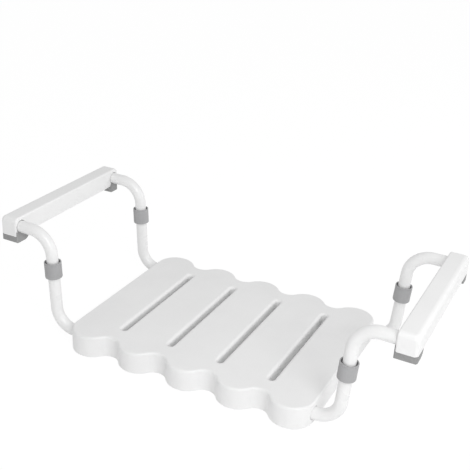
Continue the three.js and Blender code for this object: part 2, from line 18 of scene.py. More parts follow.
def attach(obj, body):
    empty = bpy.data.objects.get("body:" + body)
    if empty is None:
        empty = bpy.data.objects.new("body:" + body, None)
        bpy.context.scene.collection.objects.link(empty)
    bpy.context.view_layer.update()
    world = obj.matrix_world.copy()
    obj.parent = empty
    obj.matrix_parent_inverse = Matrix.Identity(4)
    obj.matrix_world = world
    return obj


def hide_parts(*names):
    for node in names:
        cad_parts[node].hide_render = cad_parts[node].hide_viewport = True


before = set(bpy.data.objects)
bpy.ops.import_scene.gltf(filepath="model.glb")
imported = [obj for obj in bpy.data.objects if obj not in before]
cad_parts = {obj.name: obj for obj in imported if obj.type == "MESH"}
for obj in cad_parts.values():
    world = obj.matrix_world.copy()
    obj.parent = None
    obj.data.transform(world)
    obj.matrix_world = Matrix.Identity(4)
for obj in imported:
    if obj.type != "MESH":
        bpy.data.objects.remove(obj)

LOG = logging.getLogger("bath_seat")
MM = 0.001
QUARTER = math.pi / 2
OVERRUN = 2.0  # how far a cutting solid reaches past what it cuts
LAP = 1.0  # how far a solid reaches into one that it is joined to
PLAY = 0.3  # the gap between pieces that meet
SCREW_HOLE = 2.3  # the radius of a hole for a screw's shank
BORE_SIDES = 56  # the facets of the bores and grooves for the tubes
SHARP_DEGREES = 32.0
WHITE = (1.0, 1.0, 1.0, 1.0)

Point2 = tuple[float, float]
Point3 = tuple[float, float, float]
Solid = bpy.types.Object
Socket = bpy.types.NodeSocket


class Way(Enum):
    """A direction from the seat's middle, by the sign of its coordinate."""

    @property
    def label(self) -> str:
        """The name as the nodes spell it."""
        return self.name.lower()


class End(Way):
    """One end of the board, along X."""

    LEFT = -1
    RIGHT = 1


class Side(Way):
    """The front or the rear of the board, along Y."""

    FRONT = -1
    REAR = 1


class Join(Enum):
    """How one solid is combined with another."""

    ADD = "UNION"
    CUT = "DIFFERENCE"
    KEEP = "INTERSECT"


class Grain(Enum):
    """The fine relief of a finish."""

    SATIN = "satin"
    ORANGE_PEEL = "orange peel"
    SPARK = "spark eroded"
    RUBBER = "rubber"
    TURNED = "turned"


@dataclass(frozen=True)
class Corner:
    """One corner of the seat."""

    side: Side
    end: End

    @property
    def label(self) -> str:
        """The corner's name, such as front_left."""
        return f"{self.side.label}_{self.end.label}"

    def at(self, x: float, y: float) -> Point2:
        """The place x outwards to its end and y outwards to its side."""
        return self.end.value * x, self.side.value * y


CORNERS = [Corner(side, end) for end in End for side in Side]


@dataclass(frozen=True)
class TubeLine:
    """The sizes of the bent tubes that the board, the clamps and the bars follow."""

    radius: float = 10.0
    wall: float = 1.5
    y: float = 132.5  # from the middle plane
    run_height: float = 18.0  # of the centre-line under the board
    rail_height: float = 184.5  # of the centre-line in the rim bar


TUBE = TubeLine()


# Plane outlines


def arc(centre: Point2, radius: float, start: float, stop: float, steps: int) -> list[Point2]:
    """Points on a circular arc, both ends included.

    Args:
        centre: The arc's centre.
        radius: Its radius.
        start: The angle of its first point, in radians.
        stop: The angle of its last point.
        steps: The number of chords.

    Returns:
        The points in order.
    """
    angles = [start + (stop - start) * k / steps for k in range(steps + 1)]
    return [(centre[0] + radius * math.cos(a), centre[1] + radius * math.sin(a)) for a in angles]


def fillet(points: Sequence[Point2], radii: Sequence[float], steps: int) -> list[Point2]:
    """Rounds the corners of a closed outline.

    Args:
        points: The outline's corners in order.
        radii: The radius at each corner, where 0 leaves one point.
        steps: The number of chords of each rounded corner.

    Returns:
        The rounded outline, with steps + 1 points for each rounded corner.
    """
    made: list[Point2] = []
    for k, point in enumerate(points):
        if radii[k] <= 0:
            made.append(point)
            continue
        here = Vector(point)
        before = Vector(points[k - 1]) - here
        after = Vector(points[(k + 1) % len(points)]) - here
        half = before.angle(after) / 2
        reach = min(radii[k] / math.tan(half), before.length / 2, after.length / 2)
        radius = reach * math.tan(half)
        inwards = (before.normalized() + after.normalized()).normalized()
        middle = here + inwards * radius / math.sin(half)
        first = here + before.normalized() * reach - middle
        last = here + after.normalized() * reach - middle
        turn = math.atan2(first.x * last.y - first.y * last.x, first.dot(last))
        start = math.atan2(first.y, first.x)
        made += arc((middle.x, middle.y), radius, start, start + turn, steps)
    return made


def rounded_box(low: Point2, high: Point2, radii: Sequence[float], steps: int) -> list[Point2]:
    """A rectangle with rounded corners.

    Args:
        low: Its lowest corner.
        high: Its highest corner.
        radii: The radii at its corners, anticlockwise from the lowest one.
        steps: The number of chords of each corner.

    Returns:
        The outline, anticlockwise.
    """
    return fillet([low, (high[0], low[1]), high, (low[0], high[1])], radii, steps)


def round_over(radius: float, height: float, steps: int) -> list[Point2]:
    """The steps of a rounded edge.

    Args:
        radius: Its radius.
        height: The height at which it ends.
        steps: The number of chords.

    Returns:
        Pairs of draw-in and height, from the lowest one.
    """
    turns = [QUARTER * k / steps for k in range(steps + 1)]
    return [(radius * (1 - math.cos(a)), height - radius * (1 - math.sin(a))) for a in turns]


# Solids


def linked(data: bpy.types.ID, name: str = "solid") -> Solid:
    """Puts a new object into the scene.

    Args:
        data: What it holds, such as a mesh.
        name: Its name.

    Returns:
        The object.
    """
    made = bpy.data.objects.new(name, data)
    bpy.context.scene.collection.objects.link(made)
    return made


def from_form(form: bmesh.types.BMesh) -> Solid:
    """Turns a bmesh into a mesh object.

    Args:
        form: The bmesh in millimetres, which is used up.

    Returns:
        The object, with its mesh in metres.
    """
    bmesh.ops.scale(form, vec=(MM, MM, MM), verts=form.verts)
    mesh = bpy.data.meshes.new("solid")
    form.to_mesh(mesh)
    form.free()
    return linked(mesh)


def loft(loops: Sequence[Sequence[Point3]]) -> Solid:
    """A solid through a row of loops with equally many points, capped at both ends.

    Args:
        loops: The loops in order.

    Returns:
        The solid, with its faces outwards.
    """
    form = bmesh.new()
    rings = [[form.verts.new(point) for point in loop] for loop in loops]
    form.faces.new(rings[0])
    form.faces.new(rings[-1])
    for lower, upper in zip(rings, rings[1:]):
        for k in range(len(lower)):
            form.faces.new((lower[k - 1], lower[k], upper[k], upper[k - 1]))
    bmesh.ops.recalc_face_normals(form, faces=form.faces)
    return from_form(form)


def slab(outline: Sequence[Point2], low: float, high: float) -> Solid:
    """An upright plate from z = low to z = high with the given outline."""
    return loft([[(x, y, z) for x, y in outline] for z in (low, high)])


def block(first: Point3, second: Point3) -> Solid:
    """A box between two opposite corners.

    Args:
        first: One corner.
        second: The other.

    Returns:
        The box.
    """
    x0, y0, z0 = (min(pair) for pair in zip(first, second))
    x1, y1, z1 = (max(pair) for pair in zip(first, second))
    return slab([(x0, y0), (x1, y0), (x1, y1), (x0, y1)], z0, z1)


def turned(profile: Sequence[Point2], place: Matrix, sides: int) -> Solid:
    """A turned solid.

    Args:
        profile: Pairs of radius and height that go round the section once; those of radius 0
            become a pole.
        place: Takes the part from the Z axis to its place, in millimetres.
        sides: The number of facets round the axis.

    Returns:
        The solid, with its faces outwards.
    """
    form = bmesh.new()
    angles = [math.tau * k / sides for k in range(sides)]
    rings = []
    for radius, height in profile:
        spots = [(radius * math.cos(a), radius * math.sin(a)) for a in angles if radius or a == 0]
        rings.append([form.verts.new(place @ Vector((x, y, height))) for x, y in spots])
    for lower, upper in zip(rings, rings[1:] + rings[:1]):
        if len(lower) == len(upper) == 1:
            continue
        for k in range(sides):
            near, far = k, (k + 1) % sides
            corners = [lower[near % len(lower)], lower[far % len(lower)],
                       upper[far % len(upper)], upper[near % len(upper)]]
            form.faces.new(list(dict.fromkeys(corners)))
    bmesh.ops.recalc_face_normals(form, faces=form.faces)
    return from_form(form)


def on_axis(foot: Vector, along: Vector) -> Matrix:
    """Takes the Z axis to an axis that starts at foot."""
    return Matrix.Translation(foot) @ along.to_track_quat("Z", "Y").to_matrix().to_4x4()


def rod(radius: float, low: Point3, high: Point3, sides: int = 40) -> Solid:
    """A round bar.

    Args:
        radius: Its radius.
        low: The middle of its first end.
        high: The middle of its last end.
        sides: The number of facets round it.

    Returns:
        The bar.
    """
    along = Vector(high) - Vector(low)
    profile = [(0.0, 0.0), (radius, 0.0), (radius, along.length), (0.0, along.length)]
    return turned(profile, on_axis(low, along), sides)


def pin(radius: float, spot: Point2, low: float, high: float) -> Solid:
    """An upright round bar between two heights."""
    return rod(radius, (*spot, low), (*spot, high))


def bake(thing: Solid) -> None:
    """Puts the result of an object's modifiers into its mesh and takes them off.

    Args:
        thing: The object.
    """
    depsgraph = bpy.context.evaluated_depsgraph_get()
    old = thing.data
    thing.data = bpy.data.meshes.new_from_object(
        thing.evaluated_get(depsgraph), preserve_all_data_layers=True, depsgraph=depsgraph
    )
    thing.modifiers.clear()
    bpy.data.meshes.remove(old)


def discard(thing: Solid) -> None:
    """Removes a tool object and its mesh.

    Args:
        thing: The object.
    """
    mesh = thing.data
    bpy.data.objects.remove(thing)
    bpy.data.meshes.remove(mesh)


def combine(base: Solid, how: Join, *tools: Solid) -> Solid:
    """Joins tools to a solid, cuts them out of it or keeps what they share with it.

    Args:
        base: The solid that changes.
        how: The way to combine them.
        tools: The other solids, which are used up.

    Returns:
        The base.
    """
    for tool in tools:
        modifier = base.modifiers.new("combine", "BOOLEAN")
        modifier.solver = "MANIFOLD"
        modifier.operation = how.value
        modifier.object = tool
        bake(base)
        discard(tool)
    return base


def gather(parts: Iterable[Solid]) -> Solid:
    """Makes one object from several that don't overlap.

    Args:
        parts: The objects, which are used up.

    Returns:
        The one object.
    """
    form = bmesh.new()
    for part in parts:
        form.from_mesh(part.data)
        discard(part)
    bmesh.ops.scale(form, vec=(1 / MM, 1 / MM, 1 / MM), verts=form.verts)
    return from_form(form)


# Node trees


class Nodes:
    """A node tree under construction."""

    def __init__(self, tree: bpy.types.NodeTree) -> None:
        """Starts from a given tree."""
        self.tree = tree

    def add(self, kind: str, settings: dict[str, object] | None = None,
            **sockets: object) -> bpy.types.Node:
        """Adds a node.

        Args:
            kind: The node's type name.
            settings: Values for the node's own properties.
            sockets: A value or a socket for each input, where _ in a name stands for a space.

        Returns:
            The new node.
        """
        node = self.tree.nodes.new(kind)
        for key, value in (settings or {}).items():
            setattr(node, key, value)
        for key, value in sockets.items():
            self.feed(node.inputs[key.replace("_", " ")], value)
        return node

    def feed(self, socket: Socket, value: object) -> None:
        """Links a socket to another one or sets its value.

        Args:
            socket: The socket that is fed.
            value: The other socket or the value.
        """
        if isinstance(value, Socket):
            self.tree.links.new(value, socket)
        else:
            socket.default_value = value

    def math(self, operation: str, *values: object) -> Socket:
        """Adds a sum.

        Args:
            operation: The kind of sum.
            values: Numbers or sockets.

        Returns:
            The socket that carries the result.
        """
        node = self.add("ShaderNodeMath", {"operation": operation})
        for socket, value in zip(node.inputs, values):
            self.feed(socket, value)
        return node.outputs[0]

    def found(self, kind: str) -> bpy.types.Node:
        """The first node of a type."""
        return next(node for node in self.tree.nodes if node.type == kind)

    def surface(self, outlet: str, share: Socket, *shaders: bpy.types.Node) -> None:
        """Mixes two shaders and shows the result.

        Args:
            outlet: The type of the output node.
            share: The share of the second shader.
            shaders: The two shader nodes.
        """
        blend = self.add("ShaderNodeMixShader")
        for socket, value in zip(blend.inputs, (share, *(node.outputs[0] for node in shaders))):
            self.feed(socket, value)
        self.feed(self.found(outlet).inputs["Surface"], blend.outputs[0])


class Tree(Nodes):
    """A Geometry Nodes tree with named inputs."""

    def __init__(self, name: str, floats: Sequence[str] = (), whole: Sequence[str] = ()) -> None:
        """Starts a tree.

        Args:
            name: The tree's name.
            floats: The names of its inputs in metres.
            whole: The names of its inputs in whole numbers.
        """
        super().__init__(bpy.data.node_groups.new(name, "GeometryNodeTree"))
        face = self.tree.interface
        face.new_socket("Geometry", in_out="OUTPUT", socket_type="NodeSocketGeometry")
        inputs = [("Geometry", "Geometry"), *((label, "Float") for label in floats),
                  *((label, "Int") for label in whole), ("Material", "Material")]
        for label, kind in inputs:
            face.new_socket(label, in_out="INPUT", socket_type=f"NodeSocket{kind}")
        self.inlet = self.tree.nodes.new("NodeGroupInput")

    def __getitem__(self, label: str) -> Socket:
        """The socket that gives a named input of the tree."""
        return self.inlet.outputs[label]

    def vector(self, x: object = 0.0, y: object = 0.0, z: object = 0.0) -> Socket:
        """A vector from three numbers or sockets."""
        return self.add("ShaderNodeCombineXYZ", X=x, Y=y, Z=z).outputs[0]

    def raised(self, shape: bpy.types.Node, height: Socket) -> Socket:
        """A node's geometry, moved up by a height."""
        return self.add("GeometryNodeTransform", Geometry=shape.outputs[0],
                        Translation=self.vector(z=height)).outputs[0]

    def combined(self, how: Join, solver: str, first: Socket | None, *others: Socket) -> Socket:
        """Combines solids.

        Args:
            how: The way to combine them.
            solver: The boolean solver.
            first: The solid that the others are cut out of, or None where all are joined.
            others: The other solids.

        Returns:
            The socket that carries the result.
        """
        settings = {"operation": how.value, "solver": solver}
        node = self.add("GeometryNodeMeshBoolean", settings)
        if first is not None:
            self.feed(node.inputs["Mesh 1"], first)
        for other in others:
            self.feed(node.inputs["Mesh 2"], other)
        return node.outputs[0]

    def row(self, shape: Socket, axis: str, labels: tuple[str, str],
            middle: dict[str, object] | None = None) -> Socket:
        """Repeats a shape in a centred row.

        Args:
            shape: The shape.
            axis: The row's direction, x or y.
            labels: The named inputs for the row's count and pitch.
            middle: The row's middle, by axis, where it isn't the origin.

        Returns:
            The socket that carries the row as plain geometry.
        """
        count, pitch = (self[label] for label in labels)
        length = self.math("MULTIPLY", self.math("SUBTRACT", count, 1.0), pitch)
        start = {axis: 0.0, **(middle or {})}
        start[axis] = self.math("SUBTRACT", start[axis], self.math("MULTIPLY", length, 0.5))
        line = self.add("GeometryNodeMeshLine", Count=count, Start_Location=self.vector(**start),
                        Offset=self.vector(**{axis: pitch}))
        row = self.add("GeometryNodeInstanceOnPoints", Points=line.outputs[0], Instance=shape)
        return self.add("GeometryNodeRealizeInstances", Geometry=row.outputs[0]).outputs[0]

    def finish(self, geometry: Socket) -> bpy.types.NodeTree:
        """Ends the tree in Realize Instances and Set Material.

        Args:
            geometry: The socket that carries the result.

        Returns:
            The finished node group.
        """
        real = self.add("GeometryNodeRealizeInstances", Geometry=geometry)
        dressed = self.add("GeometryNodeSetMaterial", Geometry=real.outputs[0],
                           Material=self["Material"])
        outlet = self.tree.nodes.new("NodeGroupOutput")
        self.feed(outlet.inputs[0], dressed.outputs[0])
        return self.tree


def grow(thing: Solid, tree: bpy.types.NodeTree, values: dict[str, object]) -> Solid:
    """Runs a Geometry Nodes tree on an object and keeps its result as plain mesh.

    Args:
        thing: The object that the tree starts from.
        tree: The node group.
        values: A value for each named input; a float is a size in millimetres.

    Returns:
        The same object.
    """
    modifier = thing.modifiers.new(tree.name, "NODES")
    modifier.node_group = tree
    items = [item for item in tree.interface.items_tree if item.in_out == "INPUT"]
    sockets = {item.name: item.identifier for item in items}
    for label, value in values.items():
        modifier[sockets[label]] = value * MM if isinstance(value, float) else value
    bake(thing)
    return thing


def row_tree() -> bpy.types.NodeTree:
    """Repeats the object's own geometry in a centred row along X."""
    tree = Tree("centred_row", ["Pitch"], ["Count"])
    return tree.finish(tree.row(tree["Geometry"], "x", ("Count", "Pitch")))


def rib_tree() -> bpy.types.NodeTree:
    """A row of upright ribs along X and one along Y, joined into a lattice.

    Returns:
        The node group.
    """
    sizes = ["Thickness", "Foot", "Top", "Along Length", "Along Pitch", "Cross Length",
             "Cross Pitch"]
    tree = Tree("rib_lattice", sizes, ["Along Count", "Cross Count"])
    height = tree.math("SUBTRACT", tree["Top"], tree["Foot"])
    middle = {"z": tree.math("MULTIPLY", tree.math("ADD", tree["Top"], tree["Foot"]), 0.5)}
    rows = []
    for way, row_axis in (("Along", "y"), ("Cross", "x")):
        size = {row_axis: tree["Thickness"], "xy".replace(row_axis, ""): tree[f"{way} Length"]}
        rib = tree.add("GeometryNodeMeshCube", Size=tree.vector(**size, z=height))
        labels = (f"{way} Count", f"{way} Pitch")
        rows.append(tree.row(rib.outputs[0], row_axis, labels, middle))
    return tree.finish(tree.combined(Join.ADD, "MANIFOLD", None, *rows))


def tube_tree() -> bpy.types.NodeTree:
    """Draws a round tube's skin along the object's own line, thinner where tube_share says.

    Returns:
        The node group.
    """
    tree = Tree("tube_along_line", ["Radius"], ["Sides"])
    line = tree.add("GeometryNodeMeshToCurve", Mesh=tree["Geometry"])
    ring = tree.add("GeometryNodeCurvePrimitiveCircle", Resolution=tree["Sides"],
                    Radius=tree["Radius"])
    share = tree.add("GeometryNodeInputNamedAttribute", {"data_type": "FLOAT"}, Name="tube_share")
    skin = tree.add("GeometryNodeCurveToMesh", Curve=line.outputs[0],
                    Profile_Curve=ring.outputs[0], Scale=share.outputs[0])
    return tree.finish(skin.outputs[0])


def screw_tree() -> bpy.types.NodeTree:
    """Puts a pan-head screw, head down, at each of the object's own points.

    Returns:
        The node group.
    """
    labels = ["Head Radius", "Head Height", "Shank Radius", "Length", "Recess Width",
              "Recess Depth"]
    tree = Tree("pan_screws", labels, ["Seed"])
    head, tall, shank, length, width, depth = (tree[label] for label in labels)

    def times(size: Socket, share: float) -> Socket:
        """A share of a size."""
        return tree.math("MULTIPLY", size, share)

    half = times(tall, 0.5)
    rim = tree.add("GeometryNodeMeshCylinder", Vertices=28, Radius=head, Depth=half)
    dome = tree.add("GeometryNodeMeshCone", Vertices=28, Radius_Top=head,
                    Radius_Bottom=times(head, 0.6), Depth=half)
    stem = tree.add("GeometryNodeMeshCylinder", Vertices=16, Radius=shank, Depth=length)
    heights = ((rim, times(tall, -0.25)), (dome, times(tall, -1.0)), (stem, times(length, 0.5)))
    parts = [tree.raised(part, height) for part, height in heights]
    body = tree.combined(Join.ADD, "EXACT", None, *parts)
    arm, sink = times(head, 1.1), times(depth, 2.0)
    bits = [tree.add("GeometryNodeMeshCube", Size=size)
            for size in (tree.vector(arm, width, sink), tree.vector(width, arm, sink))]
    recess = [tree.raised(bit, times(tall, -1.0)) for bit in bits]
    screw = tree.combined(Join.CUT, "EXACT", body, *recess)
    chance = tree.add("FunctionNodeRandomValue", {"data_type": "FLOAT"}, Seed=tree["Seed"])
    tree.feed(next(s for s in chance.inputs if s.identifier == "Max_001"), QUARTER)
    angle = next(s for s in chance.outputs if s.enabled)
    screws = tree.add("GeometryNodeInstanceOnPoints", Points=tree["Geometry"], Instance=screw,
                      Rotation=tree.vector(z=angle))
    return tree.finish(screws.outputs[0])


def groove_tree() -> bpy.types.NodeTree:
    """Cuts a row of round grooves along X into the object, spaced along Y under a given height.

    Returns:
        The node group.
    """
    labels = ["Radius", "Length", "Pitch", "Middle X", "Middle Y", "Height"]
    tree = Tree("sole_grooves", labels, ["Count"])
    tool = tree.add("GeometryNodeMeshCylinder", Vertices=12, Radius=tree["Radius"],
                    Depth=tree["Length"])
    lying = tree.add("GeometryNodeTransform", Geometry=tool.outputs[0],
                     Rotation=(0.0, QUARTER, 0.0))
    middle = {"x": tree["Middle X"], "y": tree["Middle Y"], "z": tree["Height"]}
    tools = tree.row(lying.outputs[0], "y", ("Count", "Pitch"), middle)
    return tree.finish(tree.combined(Join.CUT, "MANIFOLD", tree["Geometry"], tools))


# Finishes


PATCH_SIZE = 70.0  # of the broad drift of a colour
RUB_SIZE = 24.0  # of the drift of the roughness
RUB_STRETCH = (1.0, 0.25, 1.0)
SPECK_SIZES = 2.5  # how many grains wide a speck is
SPECK_SHARE = 0.35  # of the specks in the drift of a colour, where patches make up the rest
DRIFT_RANGE = (0.3, 0.62)
RUB_RANGE = (0.3, 0.7)
COAT_ROUGHNESS = 0.12
PLASTIC_IOR = 1.49
RELIEF_STRENGTH = 0.6
FINE_SHARE = 0.6  # the size and height of a rubber's fine grain, of its cells'
SPARK_POWER = 1.6
PEEL_LEVEL = (0.5, 0.2)  # where the waves of an orange peel are cut off, and how softly
TURNING_STRETCH = (1.0, 1.0, 6.0)
GRAIN_DETAIL = {Grain.SATIN: 1.0, Grain.ORANGE_PEEL: 0.0, Grain.SPARK: 6.0, Grain.RUBBER: 2.0,
                Grain.TURNED: 1.0}


def linear(share: float) -> float:
    """The linear value of a display value from 0 to 1."""
    return share / 12.92 if share <= 0.04045 else ((share + 0.055) / 1.055) ** 2.4


class Sheet(Nodes):
    """The node tree of one material."""

    def __init__(self, name: str) -> None:
        """Makes a material with its shader.

        Args:
            name: The material's name.
        """
        self.material = bpy.data.materials.new(name)
        self.material.use_nodes = True
        super().__init__(self.material.node_tree)
        self.shader = self.found("BSDF_PRINCIPLED")

    def noise(self, place: Socket, size: float, detail: float) -> Socket:
        """Noise from 0 to 1, with blotches of a size in millimetres and some finer octaves."""
        return self.add("ShaderNodeTexNoise", Vector=place, Scale=1 / (size * MM),
                        Detail=detail).outputs["Fac"]

    def stretched(self, place: Socket, scale: Point3) -> Socket:
        """Coordinates scaled along each axis."""
        return self.add("ShaderNodeMapping", Vector=place, Scale=scale).outputs[0]

    def spread(self, value: Socket, old: Point2, new: Point2) -> Socket:
        """Maps a value's range onto another one, and clamps it.

        Args:
            value: The socket that carries the value.
            old: The low and high end of its range.
            new: What they become.

        Returns:
            The socket that carries the result.
        """
        node = self.add("ShaderNodeMapRange", {"clamp": True})
        for socket, number in zip(node.inputs, (value, *old, *new)):
            self.feed(socket, number)
        return node.outputs[0]


@dataclass(frozen=True)
class Finish:
    """A procedural finish: colour, its drift over the piece, roughness and fine relief."""

    slot: str  # names the material
    tone: Point3  # the display values of red, green and blue
    drift_share: float  # how far broad patches fall below the tone
    roughness: float
    roughness_drift: float  # to either side
    grain: Grain
    grain_size: float  # of one bump
    grain_height: float
    metallic: float = 0.0
    coat: float = 0.0

    def material(self) -> bpy.types.Material:
        """Builds the finish's material, unless it is already there.

        Returns:
            The material, named after the slot.
        """
        name = f"{self.slot}_finish"
        if name in bpy.data.materials:
            return bpy.data.materials[name]
        sheet = Sheet(name)
        place = sheet.add("ShaderNodeTexCoord").outputs["Object"]
        patches = sheet.noise(place, PATCH_SIZE, detail=3.0)
        specks = sheet.noise(place, self.grain_size * SPECK_SIZES, detail=2.0)
        patches = sheet.math("MULTIPLY", patches, 1 - SPECK_SHARE)
        drift = sheet.math("MULTIPLY_ADD", specks, SPECK_SHARE, patches)
        tint = sheet.add("ShaderNodeMix", {"data_type": "RGBA"})
        sheet.feed(tint.inputs["Factor"], sheet.spread(drift, DRIFT_RANGE, (0.0, 1.0)))
        for socket, share in ((tint.inputs[6], 1 - self.drift_share), (tint.inputs[7], 1)):
            sheet.feed(socket, (*(linear(value * share) for value in self.tone), 1.0))
        rubs = sheet.noise(sheet.stretched(place, RUB_STRETCH), RUB_SIZE, detail=4.0)
        swing = (self.roughness - self.roughness_drift, self.roughness + self.roughness_drift)
        values = {
            "Base Color": tint.outputs[2], "Roughness": sheet.spread(rubs, RUB_RANGE, swing),
            "Normal": self.relief(sheet, place), "Metallic": self.metallic,
            "Coat Weight": self.coat, "Coat Roughness": COAT_ROUGHNESS, "IOR": PLASTIC_IOR,
        }
        for label, value in values.items():
            sheet.feed(sheet.shader.inputs[label], value)
        return sheet.material

    def relief(self, sheet: Sheet, place: Socket) -> Socket:
        """The fine relief as a normal.

        Args:
            sheet: The material's nodes.
            place: The object coordinates.

        Returns:
            The socket that carries the bumped normal.
        """
        size = self.grain_size
        if self.grain is Grain.TURNED:
            place = sheet.stretched(place, TURNING_STRETCH)
        if self.grain is Grain.RUBBER:
            cells = sheet.add("ShaderNodeTexVoronoi", {"feature": "F1"}, Vector=place,
                              Scale=1 / (size * MM))
            size *= FINE_SHARE
        height = sheet.noise(place, size, GRAIN_DETAIL[self.grain])
        if self.grain is Grain.RUBBER:
            fine = sheet.math("MULTIPLY", height, FINE_SHARE)
            height = sheet.math("ADD", cells.outputs["Distance"], fine)
        elif self.grain is Grain.SPARK:
            height = sheet.math("POWER", height, SPARK_POWER)
        elif self.grain is Grain.ORANGE_PEEL:
            height = sheet.math("SMOOTH_MAX", height, *PEEL_LEVEL)
        return sheet.add("ShaderNodeBump", Height=height, Strength=RELIEF_STRENGTH,
                         Distance=self.grain_height * MM).outputs[0]


BOARD_WHITE = Finish("board_plastic", (0.937,) * 3, 0.018, 0.42, 0.05, Grain.SATIN, 0.9, 0.025)
TUBE_WHITE = Finish("tube_paint", (0.935,) * 3, 0.015, 0.3, 0.04, Grain.ORANGE_PEEL, 1.6, 0.03,
                    coat=0.25)
BAR_WHITE = Finish("bar_plastic", (0.94,) * 3, 0.015, 0.36, 0.05, Grain.SATIN, 0.8, 0.02)
COLLAR_GREY = Finish("collar_plastic", (0.67, 0.67, 0.675), 0.07, 0.5, 0.06, Grain.SPARK, 0.6, 0.04)
FOOT_RUBBER = Finish("foot_rubber", (0.62,) * 3, 0.14, 0.78, 0.08, Grain.RUBBER, 0.9, 0.12)
CLAMP_GREY = Finish("clamp_plastic", (0.58, 0.59, 0.6), 0.06, 0.55, 0.06, Grain.SPARK, 0.7, 0.04)
KNOB_DARK = Finish("knob_plastic", (0.25, 0.255, 0.265), 0.12, 0.5, 0.07, Grain.SPARK, 0.7, 0.05)
PLUG_BLACK = Finish("plug_plastic", (0.19, 0.2, 0.2), 0.12, 0.6, 0.06, Grain.SATIN, 0.8, 0.03)
ZINC = Finish("screw_steel", (0.78, 0.79, 0.8), 0.12, 0.3, 0.08, Grain.TURNED, 0.4, 0.01,
              metallic=1.0)
BRASS = Finish("insert_brass", (0.8, 0.68, 0.42), 0.15, 0.32, 0.08, Grain.TURNED, 0.4, 0.01,
               metallic=1.0)


def present(piece: Solid, name: str, finish: Finish, body: str, nodes: Sequence[str],
            even: bool = True) -> None:
    """Dresses a finished piece and hangs it on its body in place of its nodes.

    Args:
        piece: The finished mesh.
        name: Its name.
        finish: Its finish.
        body: The body that it moves with.
        nodes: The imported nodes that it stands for.
        even: True where the large faces set the shading of the small ones beside them.
    """
    mesh = piece.data
    mesh.materials.clear()
    mesh.materials.append(finish.material())
    mesh.polygons.foreach_set("material_index", [0] * len(mesh.polygons))
    mesh.shade_smooth()
    mesh.set_sharp_from_angle(angle=math.radians(SHARP_DEGREES))
    if even:
        piece.modifiers.new("even_normals", "WEIGHTED_NORMAL").keep_sharp = True
        bake(piece)
    piece.name = piece.data.name = name
    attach(piece, body)
    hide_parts(*nodes)
    LOG.info("%s: %d faces, rides on %s, stands for %s", name, len(piece.data.polygons), body,
             ", ".join(nodes))


# Sub-assemblies


